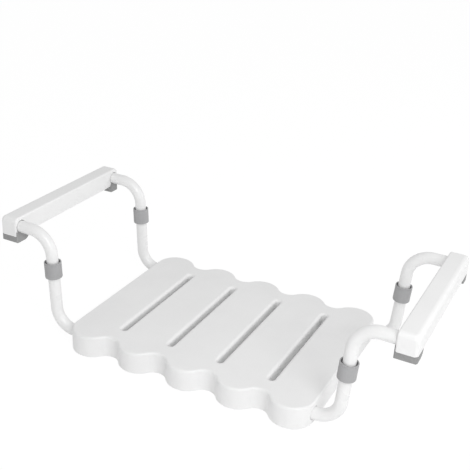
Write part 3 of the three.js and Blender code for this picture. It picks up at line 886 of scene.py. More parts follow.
@dataclass
class SeatBoard:
    """The scalloped board: a moulded shell with slots, ribs and bosses."""

    length: float = 433.0
    height: float = 37.5
    crest_width: float = 334.0  # over the lobes
    lobe_count: int = 5
    end_trim: float = 8.5  # what each end lobe lacks of a whole pitch
    corner_steps: int = 24
    crest_steps: int = 28
    valley_steps: int = 18
    lobe_depth_share: float = 0.247  # how far a lobe stands out, of the pitch
    valley_share: float = 0.37  # a valley's radius, of a valley's and a lobe's together
    top_edge: float = 3.6
    foot_edge: float = 0.8
    wall: float = 3.5
    top_wall: float = 4.0
    slot_inset: float = 30.5  # from a slot's end to the valley between two lobes
    slot_width: float = 9.6  # at its throat
    slot_edge: float = 5.5
    sleeve_wall: float = 2.5  # round a slot under the top
    sleeve_foot: float = 12.0
    rib: float = 2.5
    rib_foot: float = 15.0
    rib_pitch: float = 62.0
    rib_count: int = 3
    rib_gap: float = 57.5  # from the tubes' centre-line to the cross ribs' ends
    clamp_inset: float = 35.5  # from the board's end
    ridge: float = 3.0  # the ribs over a clamp
    ridge_pitch: float = 22.5
    ridge_reach: float = 37.0
    screw_boss: float = 4.5
    knob_boss: float = 7.5
    screw_depth: float = 11.0
    insert_hole: float = 4.8
    insert_depth: float = 10.6
    tube_play: float = 0.4
    mouth_play: float = 1.3
    run_length: float = 74.0  # how far the tubes reach under the board, with their plugs
    boss_reach: float = 19.0  # from the tube's centre-line outwards to the clamp screws
    boss_pitch: float = 15.0
    knob_reach: float = 30.0  # from the tube's centre-line inwards to the knob

    @property
    def pitch(self) -> float:
        """The distance from lobe to lobe."""
        return (self.length + 2 * self.end_trim) / self.lobe_count

    @property
    def lobe_depth(self) -> float:
        """How far a lobe stands out from the valleys."""
        return self.lobe_depth_share * self.pitch

    @property
    def clamp_x(self) -> float:
        """The clamps' distance from the middle plane."""
        return self.length / 2 - self.clamp_inset

    @property
    def clamp_plane(self) -> float:
        """The height at which the saddles meet the bosses."""
        return TUBE.run_height + PLAY

    @property
    def ceiling(self) -> float:
        """The height of the top's lower face."""
        return self.height - self.top_wall

    def screw_spots(self, corner: Corner) -> list[Point2]:
        """The axes of a clamp's two screws."""
        x, y = corner.at(self.clamp_x, TUBE.y + self.boss_reach)
        return [(x - self.boss_pitch / 2, y), (x + self.boss_pitch / 2, y)]

    def knob_spot(self, corner: Corner) -> Point2:
        """The axis of a clamp's knob."""
        return corner.at(self.clamp_x, TUBE.y - self.knob_reach)

    def outline(self, inset: float) -> list[Point2]:
        """The scalloped outline, drawn in from the edge.

        Args:
            inset: The distance from the edge.

        Returns:
            The outline, anticlockwise from the left front.
        """
        depth = self.lobe_depth
        reach = ((self.pitch / 2) ** 2 + depth**2) / (2 * depth)
        flank = math.asin(self.pitch / 2 / reach)
        hollow = self.valley_share * reach
        lobe = reach - hollow
        last = self.lobe_count - 1
        end_x, lobe_y = self.length / 2 - lobe, self.crest_width / 2 - lobe
        hollow_y = self.crest_width / 2 - depth + hollow
        points: list[Point2] = []
        for sign in (-1, 1):
            mid = sign * QUARTER
            across = mid + math.pi
            points += arc((sign * end_x, sign * lobe_y), lobe - inset, mid - QUARTER, mid,
                          self.corner_steps)
            for k in range(self.lobe_count):
                x = (k - last / 2) * self.pitch
                start, stop = mid - (flank if k else 0), mid + (flank if k < last else 0)
                crest = arc((-sign * x, sign * lobe_y), lobe - inset, start, stop,
                            self.crest_steps)
                points += crest[1 if k else 0:]
                if k < last:
                    centre = (-sign * (x + self.pitch / 2), sign * hollow_y)
                    points += arc(centre, hollow + inset, across + flank, across - flank,
                                  self.valley_steps)[1:]
            points += arc((-sign * end_x, sign * lobe_y), lobe - inset, mid, mid + QUARTER,
                          self.corner_steps)
        return points

    def shell(self) -> Solid:
        """The shell with its rounded edges.

        Returns:
            The solid, open below.
        """
        bands = [(inset, -z) for inset, z in reversed(round_over(self.foot_edge, 0.0, 3))]
        bands += round_over(self.top_edge, self.height, 12)
        outer = loft([[(x, y, z) for x, y in self.outline(inset)] for inset, z in bands])
        return combine(outer, Join.CUT, slab(self.outline(self.wall), -OVERRUN, self.ceiling))

    def slot_outline(self, spread: float) -> list[Point2]:
        """The outline of a slot in the middle of the board.

        Args:
            spread: How far it is spread out.

        Returns:
            The outline, anticlockwise.
        """
        radius = self.slot_width / 2 + spread
        length = self.crest_width - 2 * self.lobe_depth - 2 * self.slot_inset + 2 * spread
        reach = length / 2 - radius
        return (arc((0.0, reach), radius, 0, math.pi, 16)
                + arc((0.0, -reach), radius, math.pi, math.tau, 16))

    def at_slots(self, thing: Solid) -> Solid:
        """Repeats a thing that is made for a slot in the middle at every slot."""
        return grow(thing, row_tree(), {"Count": self.lobe_count - 1, "Pitch": self.pitch})

    def slot_tools(self) -> Solid:
        """The shape of the slots with their flared mouths.

        Returns:
            The solids that cut them, as one object.
        """
        bands = [(0.0, -OVERRUN), *round_over(self.slot_edge, self.height, 10),
                 (self.slot_edge, self.height + OVERRUN)]
        return self.at_slots(loft([[(x, y, z) for x, y in self.slot_outline(spread)]
                                   for spread, z in bands]))

    def structure(self) -> Solid:
        """The ribs, sleeves and bosses under the top.

        Returns:
            The solid, cut to the board's outline.
        """
        top = self.ceiling + OVERRUN
        half_width = self.crest_width / 2
        ribs = grow(block((0, 0, 0), (1, 1, 1)), rib_tree(), {
            "Thickness": self.rib, "Foot": self.rib_foot, "Top": top,
            "Along Length": self.length, "Along Pitch": self.rib_pitch,
            "Along Count": self.rib_count, "Cross Length": 2 * (TUBE.y - self.rib_gap),
            "Cross Pitch": self.pitch, "Cross Count": self.lobe_count,
        })
        sleeves = self.at_slots(slab(self.slot_outline(self.sleeve_wall), self.sleeve_foot, top))
        middle_ribs = [block((x - self.rib / 2, -half_width, self.rib_foot),
                             (x + self.rib / 2, half_width, top))
                       for x in (-self.pitch, 0.0, self.pitch)]
        combine(ribs, Join.ADD, sleeves, gather(middle_ribs))
        ridges, bosses = [], []
        for corner in CORNERS:
            near = corner.at(self.clamp_x, TUBE.y - self.ridge_reach)
            far = corner.at(self.clamp_x, half_width)
            for shift in (-self.ridge_pitch, 0.0, self.ridge_pitch):
                ridges.append(block((near[0] + shift - self.ridge / 2, near[1], self.clamp_plane),
                                    (far[0] + shift + self.ridge / 2, far[1], top)))
            bosses += [pin(self.screw_boss, spot, self.clamp_plane, top)
                       for spot in self.screw_spots(corner)]
            bosses.append(pin(self.knob_boss, self.knob_spot(corner), self.clamp_plane, top))
        combine(ribs, Join.ADD, gather(ridges), gather(bosses))
        within = slab(self.outline(self.wall / 2), 0.0, self.height - self.top_wall / 2)
        return combine(ribs, Join.KEEP, within)

    def clamp_tools(self) -> list[Solid]:
        """The shape of the tube bores and of the holes for clamp screws and inserts.

        Returns:
            The objects that cut the bores, their mouths and the holes.
        """
        bores, mouths, holes = [], [], []
        low = self.clamp_plane - OVERRUN
        for corner in CORNERS:
            starts = (self.length / 2 - self.run_length, self.length / 2 - self.wall / 2)
            inner, skirt, outer = ((*corner.at(x, TUBE.y), TUBE.run_height)
                                   for x in (*starts, self.length / 2 + OVERRUN))
            bores.append(rod(TUBE.radius + self.tube_play, inner, outer, BORE_SIDES))
            mouths.append(rod(TUBE.radius + self.mouth_play, skirt, outer, BORE_SIDES))
            holes += [pin(SCREW_HOLE, spot, low, self.clamp_plane + self.screw_depth)
                      for spot in self.screw_spots(corner)]
            holes.append(pin(self.insert_hole, self.knob_spot(corner), low,
                             self.clamp_plane + self.insert_depth))
        return [gather(bores), gather(mouths), gather(holes)]

    def build(self) -> None:
        """Builds the board and dresses it."""
        board = self.shell()
        combine(board, Join.ADD, self.structure())
        combine(board, Join.CUT, self.slot_tools(), *self.clamp_tools())
        present(board, "seat_shell", BOARD_WHITE, "seat", ["seat_board"])


@dataclass
class TubeClamp:
    """One clamp under the board: a saddle, a threaded insert and a knob."""

    corner: Corner
    board: SeatBoard
    saddle_length: float = 50.0
    saddle_wall: float = 3.0
    flange_length: float = 30.0  # along the tube
    flange_thickness: float = 4.0
    flange_corner: float = 6.0
    outer_reach: float = 25.0  # from the tube's centre-line to the flange's outer edge
    inner_reach: float = 38.0  # and to its inner edge
    knob_radius: float = 16.0
    knob_height: float = 11.0  # head and hub together
    hub_radius: float = 8.0
    hub_height: float = 2.0
    grip_depth: float = 2.6
    lobes: int = 5
    lobe_steps: int = 14
    lower_bands: tuple[Point2, ...] = (  # share of the head's radius and height over its foot
        (0.78, 0.0), (0.9, 0.35), (0.97, 1.1), (1.0, 2.2))
    upper_bands: tuple[Point2, ...] = (  # share of the head's radius and depth under the hub
        (1.0, 1.4), (0.97, 0.5), (0.9, 0.0))
    dish: tuple[Point2, ...] = (  # radius and height over the head's foot
        (0.0, -1.0), (9.5, -1.0), (8.0, 0.9), (0.0, 1.2))
    stud_radius: float = 3.0
    stud_play: float = 0.4
    stud_length: float = 17.0  # above the hub
    insert_radius: float = 4.5
    insert_length: float = 10.0
    waist_depth: float = 0.6
    waist: tuple[float, ...] = (3.0, 3.6, 6.4, 7.0)  # heights on the insert

    @property
    def seat_height(self) -> float:
        """The height at which screw heads and knob hub press on the flange."""
        return TUBE.run_height - self.flange_thickness - PLAY

    def saddle(self) -> None:
        """Builds the saddle and dresses it."""
        x, y = self.corner.at(self.board.clamp_x, TUBE.y)
        z, groove, half = TUBE.run_height, TUBE.radius + PLAY, self.saddle_length / 2
        piece = rod(groove + self.saddle_wall, (x - half, y, z), (x + half, y, z), BORE_SIDES)
        span = self.saddle_length
        combine(piece, Join.CUT, block((x - span, y - span, z), (x + span, y + span, 3 * z)))
        edges = (TUBE.y + self.outer_reach, TUBE.y - self.inner_reach)
        low_y, high_y = sorted(self.corner.side.value * edge for edge in edges)
        reach = self.flange_length / 2
        outline = rounded_box((x - reach, low_y), (x + reach, high_y),
                              [self.flange_corner] * 4, steps=8)
        combine(piece, Join.ADD, slab(outline, z - self.flange_thickness, z))
        knob_spot = self.board.knob_spot(self.corner)
        holes = [pin(self.stud_radius + self.stud_play, knob_spot, 0, 3 * z)]
        holes += [pin(SCREW_HOLE, spot, 0, 3 * z) for spot in self.board.screw_spots(self.corner)]
        trough = rod(groove, (x - span, y, z), (x + span, y, z), BORE_SIDES)
        combine(piece, Join.CUT, trough, gather(holes))
        label = self.corner.label
        present(piece, f"saddle_{label}", CLAMP_GREY, "seat", [f"tube_saddle_{label}"])

    def ring(self, share: float, height: float) -> list[Point3]:
        """One scalloped ring of the knob's head.

        Args:
            share: Its share of the head's full radius.
            height: Its height.

        Returns:
            The ring's points.
        """
        x, y = self.board.knob_spot(self.corner)
        points = []
        steps = self.lobe_steps * self.lobes
        for k in range(steps):
            angle = math.tau * k / steps
            wave = (0.5 - 0.5 * math.cos(self.lobes * angle)) ** 2
            radius = share * (self.knob_radius - self.grip_depth * wave)
            points.append((x + radius * math.cos(angle), y + radius * math.sin(angle), height))
        return points

    def knob(self) -> None:
        """Builds the scalloped knob with its stud and dresses it."""
        spot = self.board.knob_spot(self.corner)
        top = self.seat_height
        foot, shoulder = top - self.knob_height, top - self.hub_height
        head = loft([*(self.ring(share, foot + rise) for share, rise in self.lower_bands),
                     *(self.ring(share, shoulder - drop) for share, drop in self.upper_bands)])
        combine(head, Join.CUT, turned(self.dish, Matrix.Translation((*spot, foot)), sides=40))
        low, high = top - LAP, top + self.stud_length
        combine(head, Join.ADD, pin(self.hub_radius, spot, shoulder - LAP, top),
                rod(self.stud_radius, (*spot, low), (*spot, high), sides=24))
        label = self.corner.label
        present(head, f"knob_{label}", KNOB_DARK, f"knob_{label}", [f"locking_knob_{label}"])

    def insert(self) -> None:
        """Builds the threaded insert and dresses it."""
        bore, outer = self.stud_radius + self.stud_play, self.insert_radius
        waist = outer - self.waist_depth
        profile = [(bore, 0.0), (outer, 0.0), *zip((outer, waist, waist, outer), self.waist),
                   (outer, self.insert_length), (bore, self.insert_length)]
        spot = (*self.board.knob_spot(self.corner), self.board.clamp_plane + PLAY)
        piece = turned(profile, Matrix.Translation(spot), sides=32)
        label = self.corner.label
        present(piece, f"insert_{label}", BRASS, "seat", [f"threaded_insert_{label}"])

    def build(self) -> None:
        """Builds the clamp's own pieces."""
        self.saddle()
        self.knob()
        self.insert()


@dataclass
class Screws:
    """Pan-head screws of one body, as one piece."""

    label: str
    body: str
    places: list[Point3]  # the middle of each head's upper face
    nodes: list[str]
    length: float  # of the shank
    head_radius: float = 4.0
    head_height: float = 2.6
    shank_radius: float = 1.9
    recess_width: float = 0.9
    recess_depth: float = 1.2
    seed: int = 7

    def build(self) -> None:
        """Builds the screws and dresses them."""
        form = bmesh.new()
        for place in self.places:
            form.verts.new(place)
        piece = grow(from_form(form), screw_tree(), {
            "Head Radius": self.head_radius, "Head Height": self.head_height,
            "Shank Radius": self.shank_radius, "Length": self.length,
            "Recess Width": self.recess_width, "Recess Depth": self.recess_depth,
            "Seed": self.seed, "Material": ZINC.material(),
        })
        present(piece, self.label, ZINC, self.body, self.nodes)


@dataclass
class RimBar:
    """The bar on the tub's rim: a cover, a base and two rubber feet.

    It is made at the right end, where X is the distance from the middle plane, and turned round
    to the left end if that is its own.
    """

    end: End
    inner: float = 323.12  # the bar's inner face
    width: float = 32.0
    half_length: float = 145.3
    top: float = 201.3
    thickness: float = 31.8
    axis: float = 17.0  # from its inner face to the line of its screws
    wall: float = 2.5
    top_wall: float = 3.0
    low_edge: float = 0.6
    inner_edge: float = 3.0  # of the top
    outer_edge: float = 8.5
    least_edges: Point2 = (0.6, 0.9)  # what the inner and outer edges keep in a drawn-in form
    end_radii: Point3 = (2.4, 6.0, 8.0)  # of the ends' edges at the inner, outer and top faces
    end_steps: int = 14
    base_thickness: float = 3.0
    mouth_play: float = 1.1  # round a tube where it enters the bar
    tube_depth: float = 28.0  # how deep the tubes reach into the bar
    screw_reach: float = 60.0  # from the middle plane to the bar screws
    screw_depth: float = 16.0
    post: float = 4.5
    cradle: tuple[float, float, float] = (7.0, 8.0, 4.0)  # its half sides and its hold on a tube
    cradle_lap: float = 0.5
    foot_length: float = 30.0
    foot_drop: float = 11.5  # how far a foot stands below the bar
    lip: float = 1.0  # on the bar's inner face
    lip_rise: float = 8.0
    lip_length: float = 19.0  # at its top
    lip_slope: float = 5.0  # how much longer it is at the bar's lower edge
    flat_length: float = 17.5  # from the bar's end to the rear of the flat sole
    nose: float = 2.6  # the sole's front edge
    heel: float = 2.0  # the foot's thickness at its thin end, behind the round heel
    heel_steps: int = 10
    corners: Point2 = (3.4, 6.0)  # the foot's inner and outer corners, seen from above
    foot_edges: tuple[float, ...] = (0.5, 2.0, 1.6, 0.6)  # from its thin end up round the lip
    soft_edge: float = 0.7
    soft_angle: float = 40.0  # in degrees
    soft_steps: int = 3
    head_sink: float = 4.3  # round a foot screw's head
    head_depth: float = 2.9
    groove: float = 0.9  # in the sole
    groove_pitch: float = 3.4
    groove_count: int = 5
    groove_shift: float = 1.2
    groove_drop: float = 0.25

    @property
    def bottom(self) -> float:
        """The height of the bar's lower face."""
        return self.top - self.thickness

    @property
    def middle(self) -> float:
        """The line of the bar's screws."""
        return self.inner + self.axis

    @property
    def body(self) -> str:
        """The body that the bar moves with."""
        return f"{self.end.label}_frame"

    def corner(self, own: int) -> Corner:
        """The corner that the bar's own side, -1 or 1, comes to when it is at its end."""
        return Corner(Side(own * self.end.value), self.end)

    def show(self, piece: Solid, name: str, finish: Finish, node: str) -> None:
        """Turns a piece to the bar's end and dresses it.

        Args:
            piece: The finished mesh, made at the right end.
            name: Its name.
            finish: Its finish.
            node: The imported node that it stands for.
        """
        if self.end is End.LEFT:
            piece.data.transform(Matrix.Rotation(math.pi, 4, "Z"))
        present(piece, name, finish, self.body, [node])

    def pins(self, radius: float, reach: float, low: float, high: float) -> list[Solid]:
        """Two upright round bars on the line of the screws, to either side of the middle."""
        return [pin(radius, (self.middle, y), low, high) for y in (-reach, reach)]

    def tube_rods(self, radius: float, low: float, high: float) -> list[Solid]:
        """Two round bars along X where the tubes lie."""
        return [rod(radius, (low, y, TUBE.rail_height), (high, y, TUBE.rail_height), BORE_SIDES)
                for y in (-TUBE.y, TUBE.y)]

    def form(self, inset: float, top_inset: float, low: float) -> Solid:
        """The bar's outer form, drawn in or, below 0, grown.

        Args:
            inset: The distance from the sides and ends.
            top_inset: The distance from the top.
            low: The height of the lower edge.

        Returns:
            The solid.
        """
        reach = self.half_length - inset
        turns = [QUARTER * k / self.end_steps for k in range(self.end_steps + 1)]
        backs = [max(self.end_radii) * (1 - math.cos(turn)) for turn in turns]
        places = [(back - reach, back) for back in backs]
        places += [(reach - back, back) for back in reversed(backs)]
        loops = []
        for y, back in places:
            left, right, down = (
                base + radius - math.sqrt(radius**2 - max(0.0, radius - back) ** 2)
                for base, radius in zip((inset, inset, top_inset), self.end_radii))
            inner_edge = max(self.least_edges[0], self.inner_edge - min(left, down))
            outer_edge = max(self.least_edges[1], self.outer_edge - min(right, down))
            outline = rounded_box((self.inner + left, low),
                                  (self.inner + self.width - right, self.top - down),
                                  [self.low_edge, self.low_edge, outer_edge, inner_edge],
                                  steps=9)
            loops.append([(x, y, z) for x, z in outline])
        return loft(loops)

    def cover(self) -> None:
        """Builds the cover and dresses it."""
        shell = self.form(0.0, 0.0, self.bottom)
        combine(shell, Join.CUT, self.form(self.wall, self.top_wall, self.bottom - OVERRUN))
        posts = self.pins(self.post, self.screw_reach, self.bottom + self.base_thickness + PLAY,
                          self.top - self.top_wall / 2)
        combine(shell, Join.ADD, gather(posts))
        holes = self.tube_rods(TUBE.radius + self.mouth_play, self.inner - OVERRUN,
                               self.inner + self.tube_depth + PLAY)
        holes += self.pins(SCREW_HOLE, self.screw_reach, self.bottom - OVERRUN,
                           self.bottom + self.screw_depth)
        combine(shell, Join.CUT, gather(holes))
        end = self.end.label
        self.show(shell, f"bar_cover_{end}", BAR_WHITE, f"rim_bar_cover_{end}")

    def base(self) -> None:
        """Builds the base plate with its cradles and dresses it."""
        gap = self.wall + PLAY
        inner_radius, outer_radius = self.end_radii[:2]
        outline = rounded_box((self.inner + gap, gap - self.half_length),
                              (self.inner + self.width - gap, self.half_length - gap),
                              [inner_radius, outer_radius, outer_radius, inner_radius], steps=10)
        plate = slab(outline, self.bottom, self.bottom + self.base_thickness)
        half_x, half_y, hold = self.cradle
        cradles = [block((self.middle - half_x, y - half_y, self.bottom + self.cradle_lap),
                         (self.middle + half_x, y + half_y, TUBE.rail_height - TUBE.radius + hold))
                   for y in (-TUBE.y, TUBE.y)]
        holes = [hole for reach in (TUBE.y, self.screw_reach)
                 for hole in self.pins(SCREW_HOLE, reach, self.bottom - OVERRUN, TUBE.rail_height)]
        grooves = self.tube_rods(TUBE.radius + PLAY, self.inner, self.inner + self.width)
        combine(plate, Join.ADD, gather(cradles))
        combine(plate, Join.CUT, gather(grooves), gather(holes))
        end = self.end.label
        self.show(plate, f"bar_base_{end}", BAR_WHITE, f"rim_bar_base_{end}")

    def foot(self, own: int) -> None:
        """Builds one rubber foot and dresses it.

        Args:
            own: The bar's own side, -1 or 1, before it is turned to its end.
        """
        reach, bottom = self.half_length, self.bottom - self.foot_drop
        run, rise = self.foot_length - self.flat_length, self.foot_drop - self.heel
        turns = [QUARTER * k / self.heel_steps for k in range(self.heel_steps + 1)]
        heel = [(reach - self.flat_length - run * math.sin(a), bottom + rise * (1 - math.cos(a)))
                for a in turns]
        points = [(reach, bottom), *heel, (reach - self.foot_length, self.bottom),
                  (reach - self.lip_length - self.lip_slope, self.bottom),
                  (reach - self.lip_length, self.bottom + self.lip_rise),
                  (reach, self.bottom + self.lip_rise)]
        radii = [self.nose, *[0.0] * len(heel), *self.foot_edges]
        outline = fillet([(own * y, z) for y, z in points], radii, steps=6)
        low_x, high_x = self.inner - self.lip - PLAY, self.inner + self.width
        solid = loft([[(x, y, z) for y, z in outline] for x in (low_x, high_x)])
        inner_corner, outer_corner = self.corners
        plan = rounded_box((low_x, -reach), (high_x, reach),
                           [inner_corner, outer_corner, outer_corner, inner_corner], steps=12)
        combine(solid, Join.KEEP, slab(plan, bottom - OVERRUN, self.top))
        bevel = solid.modifiers.new("soft_edges", "BEVEL")
        bevel.width = self.soft_edge * MM
        bevel.segments = self.soft_steps
        bevel.limit_method = "ANGLE"
        bevel.angle_limit = math.radians(self.soft_angle)
        bake(solid)
        grow(solid, groove_tree(), {
            "Radius": self.groove, "Length": 2 * self.width, "Pitch": self.groove_pitch,
            "Count": self.groove_count, "Middle X": self.middle,
            "Middle Y": own * (reach - self.flat_length / 2 - self.groove_shift),
            "Height": bottom - self.groove_drop, "Material": FOOT_RUBBER.material(),
        })
        combine(solid, Join.CUT, self.form(-PLAY, -PLAY, self.bottom - PLAY))
        spot = (self.middle, own * TUBE.y)
        ends = ((x, spot[1], TUBE.rail_height) for x in (low_x - self.width, high_x + self.width))
        combine(solid, Join.CUT, rod(TUBE.radius + PLAY, *ends, BORE_SIDES),
                pin(SCREW_HOLE, spot, bottom - OVERRUN, self.top),
                pin(self.head_sink, spot, bottom - OVERRUN, bottom + self.head_depth + PLAY))
        label = self.corner(own).label
        self.show(solid, f"foot_{label}", FOOT_RUBBER, f"rubber_foot_{label}")

    def screws(self) -> None:
        """Builds the bar's and the feet's screws and dresses them."""
        sole = self.bottom - self.foot_drop + self.head_depth
        for kind, reach, height, length in (("bar", self.screw_reach, self.bottom - PLAY, 14.0),
                                            ("foot", TUBE.y, sole, 17.0)):
            corners_here = [self.corner(own) for own in (-1, 1)]
            places = [(*corner.at(self.middle, reach), height) for corner in corners_here]
            nodes = [f"{kind}_screw_{corner.label}" for corner in corners_here]
            Screws(f"{kind}_screws_{self.end.label}", self.body, places, nodes, length).build()

    def build(self) -> None:
        """Builds the bar with all that is on it."""
        self.cover()
        self.base()
        self.foot(-1)
        self.foot(1)
        self.screws()


@dataclass
class BentLeg:
    """One leg: a lower tube that slides in the board, a collar and an upper tube to the bar."""

    corner: Corner
    bar: RimBar
    joint_share: float  # where the joint lies on the straight part of the leg
    run_start: float = 147.0  # the lower tube's inner end
    bend_start: float = 218.7  # of the lower bend
    lower_bend: float = 37.0
    upper_bend: float = 40.0
    lean: float = math.radians(3.5)  # outwards
    tube_sides: int = 72
    bend_steps: int = 44
    neck_length: float = 36.0  # of the upper tube inside the lower one
    neck_share: float = 0.82  # the neck's radius as a share of the tube's
    neck_top: float = 0.9  # from the joint's middle
    body_start: float = 1.7
    joint_gap: float = 1.3
    collar_radius: float = 14.25
    collar_half: float = 14.0  # half its length
    mouth_depth: float = 7.0
    mouth_wall: float = 1.9
    ledge: float = 1.0  # the upper tube's stop inside the collar, to either side of the joint
    bead_depth: float = 0.35
    bead: tuple[float, ...] = (2.9, 2.5, 2.3, 1.9)  # down from the collar's mouth
    plug_head: float = 2.5
    plug_stem: float = 10.0

    @property
    def up(self) -> Vector:
        """The direction of the straight leg."""
        return Vector((self.corner.end.value * math.sin(self.lean), 0, math.cos(self.lean)))

    def show(self, piece: Solid, part: str, finish: Finish, node: str, even: bool = True) -> None:
        """Dresses a piece with the leg's body and corner."""
        label = self.corner.label
        present(piece, f"{part}_{label}", finish, self.bar.body, [f"{node}_{label}"], even)

    def point(self, x: float, z: float) -> Vector:
        """A point of the leg's plane, x outwards from the middle plane."""
        return Vector((*self.corner.at(x, TUBE.y), z))

    def straight(self) -> tuple[Vector, Vector]:
        """The straight part between the bends.

        Returns:
            Its lower and its upper end.
        """
        rest = 1 - math.sin(self.lean)
        low = self.point(self.bend_start + self.lower_bend * math.cos(self.lean),
                         TUBE.run_height + self.lower_bend * rest)
        top = TUBE.rail_height - self.upper_bend * rest
        return low, low + self.up * ((top - low.z) / self.up.z)

    def joint(self) -> Vector:
        """The middle of the joint."""
        low, high = self.straight()
        return low.lerp(high, self.joint_share)

    def bend(self, centre: Vector, radius: float, start: float, stop: float) -> list[Vector]:
        """Points on a bend of the centre-line.

        Args:
            centre: The bend's centre.
            radius: Its radius.
            start: The first angle from outwards to upwards, in radians.
            stop: The last angle.

        Returns:
            The points in order.
        """
        sign = self.corner.end.value
        plane = arc((0.0, 0.0), radius, start, stop, self.bend_steps)
        return [centre + Vector((sign * x, 0, z)) for x, z in plane]

    def tube(self, line: Sequence[Vector], shares: Sequence[float]) -> Solid:
        """A tube along a line.

        Args:
            line: The centre-line's points.
            shares: The share of the full radius at each point.

        Returns:
            The hollow tube.
        """
        mesh = bpy.data.meshes.new("line")
        links = [(k, k + 1) for k in range(len(line) - 1)]
        mesh.from_pydata([point * MM for point in line], links, [])
        mesh.attributes.new("tube_share", "FLOAT", "POINT").data.foreach_set("value", shares)
        piece = grow(linked(mesh), tube_tree(), {
            "Radius": TUBE.radius, "Sides": self.tube_sides, "Material": TUBE_WHITE.material()})
        form = bmesh.new()
        form.from_mesh(piece.data)
        bmesh.ops.recalc_face_normals(form, faces=form.faces)
        form.to_mesh(piece.data)
        form.free()
        wall = piece.modifiers.new("wall", "SOLIDIFY")
        wall.thickness = TUBE.wall * MM
        wall.offset = -1
        wall.use_even_offset = True
        bake(piece)
        return piece

    def lower(self) -> None:
        """Builds the lower tube and dresses it."""
        centre = self.point(self.bend_start, TUBE.run_height + self.lower_bend)
        line = [self.point(self.run_start, TUBE.run_height),
                *self.bend(centre, self.lower_bend, -QUARTER, -self.lean),
                self.joint() - self.up * self.joint_gap]
        piece = self.tube(line, [1.0] * len(line))
        self.show(piece, "lower_leg", TUBE_WHITE, "lower_tube", even=False)

    def upper(self) -> None:
        """Builds the upper tube with its neck and dresses it."""
        joint, (_, high) = self.joint(), self.straight()
        outwards = Vector((self.corner.end.value * math.cos(self.lean), 0, -math.sin(self.lean)))
        centre = high + outwards * self.upper_bend
        neck = [joint + self.up * (self.joint_gap - self.neck_length),
                joint + self.up * self.neck_top]
        body = [joint + self.up * self.body_start,
                *self.bend(centre, self.upper_bend, math.pi - self.lean, QUARTER),
                self.point(self.bar.inner + self.bar.tube_depth, TUBE.rail_height)]
        shares = [self.neck_share] * len(neck) + [1.0] * len(body)
        piece = self.tube(neck + body, shares)
        spot = self.corner.at(self.bar.middle, TUBE.y)
        hole = pin(SCREW_HOLE, spot, TUBE.rail_height - 2 * TUBE.radius, TUBE.rail_height)
        combine(piece, Join.CUT, hole)
        self.show(piece, "upper_leg", TUBE_WHITE, "upper_tube", even=False)

    def collar(self) -> None:
        """Builds the collar with its open mouth and dresses it."""
        outer, half = self.collar_radius, self.collar_half
        bore, lip = (TUBE.radius * share + PLAY for share in (1.0, self.neck_share))
        mouth, groove = outer - self.mouth_wall, outer - self.bead_depth
        floor = half - self.mouth_depth
        rounded = [(bore, -half, 0.3), (outer, -half, 1.0),
                   *zip((outer, groove, groove, outer), (half - drop for drop in self.bead),
                        (0.2, 0.0, 0.0, 0.2)),
                   (outer, half, 0.8), (mouth, half, 0.6), (mouth, floor, 0.4), (bore, floor, 0.3),
                   (bore, self.ledge, 0.0), (lip, self.ledge, 0.0), (lip, -self.ledge, 0.0),
                   (bore, -self.ledge, 0.0)]
        profile = fillet([point[:2] for point in rounded], [point[2] for point in rounded],
                         steps=4)
        self.show(turned(profile, on_axis(self.joint(), self.up), self.tube_sides), "collar",
                  COLLAR_GREY, "joint_collar")

    def plug(self) -> None:
        """Builds the plug in the lower tube's inner end and dresses it."""
        stem, head, rim = TUBE.radius - TUBE.wall - PLAY, -self.plug_head, TUBE.radius
        profile = fillet([(0.0, head), (rim, head), (rim, 0.0), (stem, 0.0),
                          (stem, self.plug_stem), (0.0, self.plug_stem)],
                         [0.0, 1.0, 0.0, 0.0, 0.6, 0.0], steps=4)
        start = self.point(self.run_start - PLAY, TUBE.run_height)
        turn = Matrix.Rotation(self.corner.end.value * QUARTER, 4, "Y")
        piece = turned(profile, Matrix.Translation(start) @ turn, sides=40)
        self.show(piece, "plug", PLUG_BLACK, "tube_plug")

    def build(self) -> None:
        """Builds the leg's pieces."""
        self.lower()
        self.upper()
        self.collar()
        self.plug()


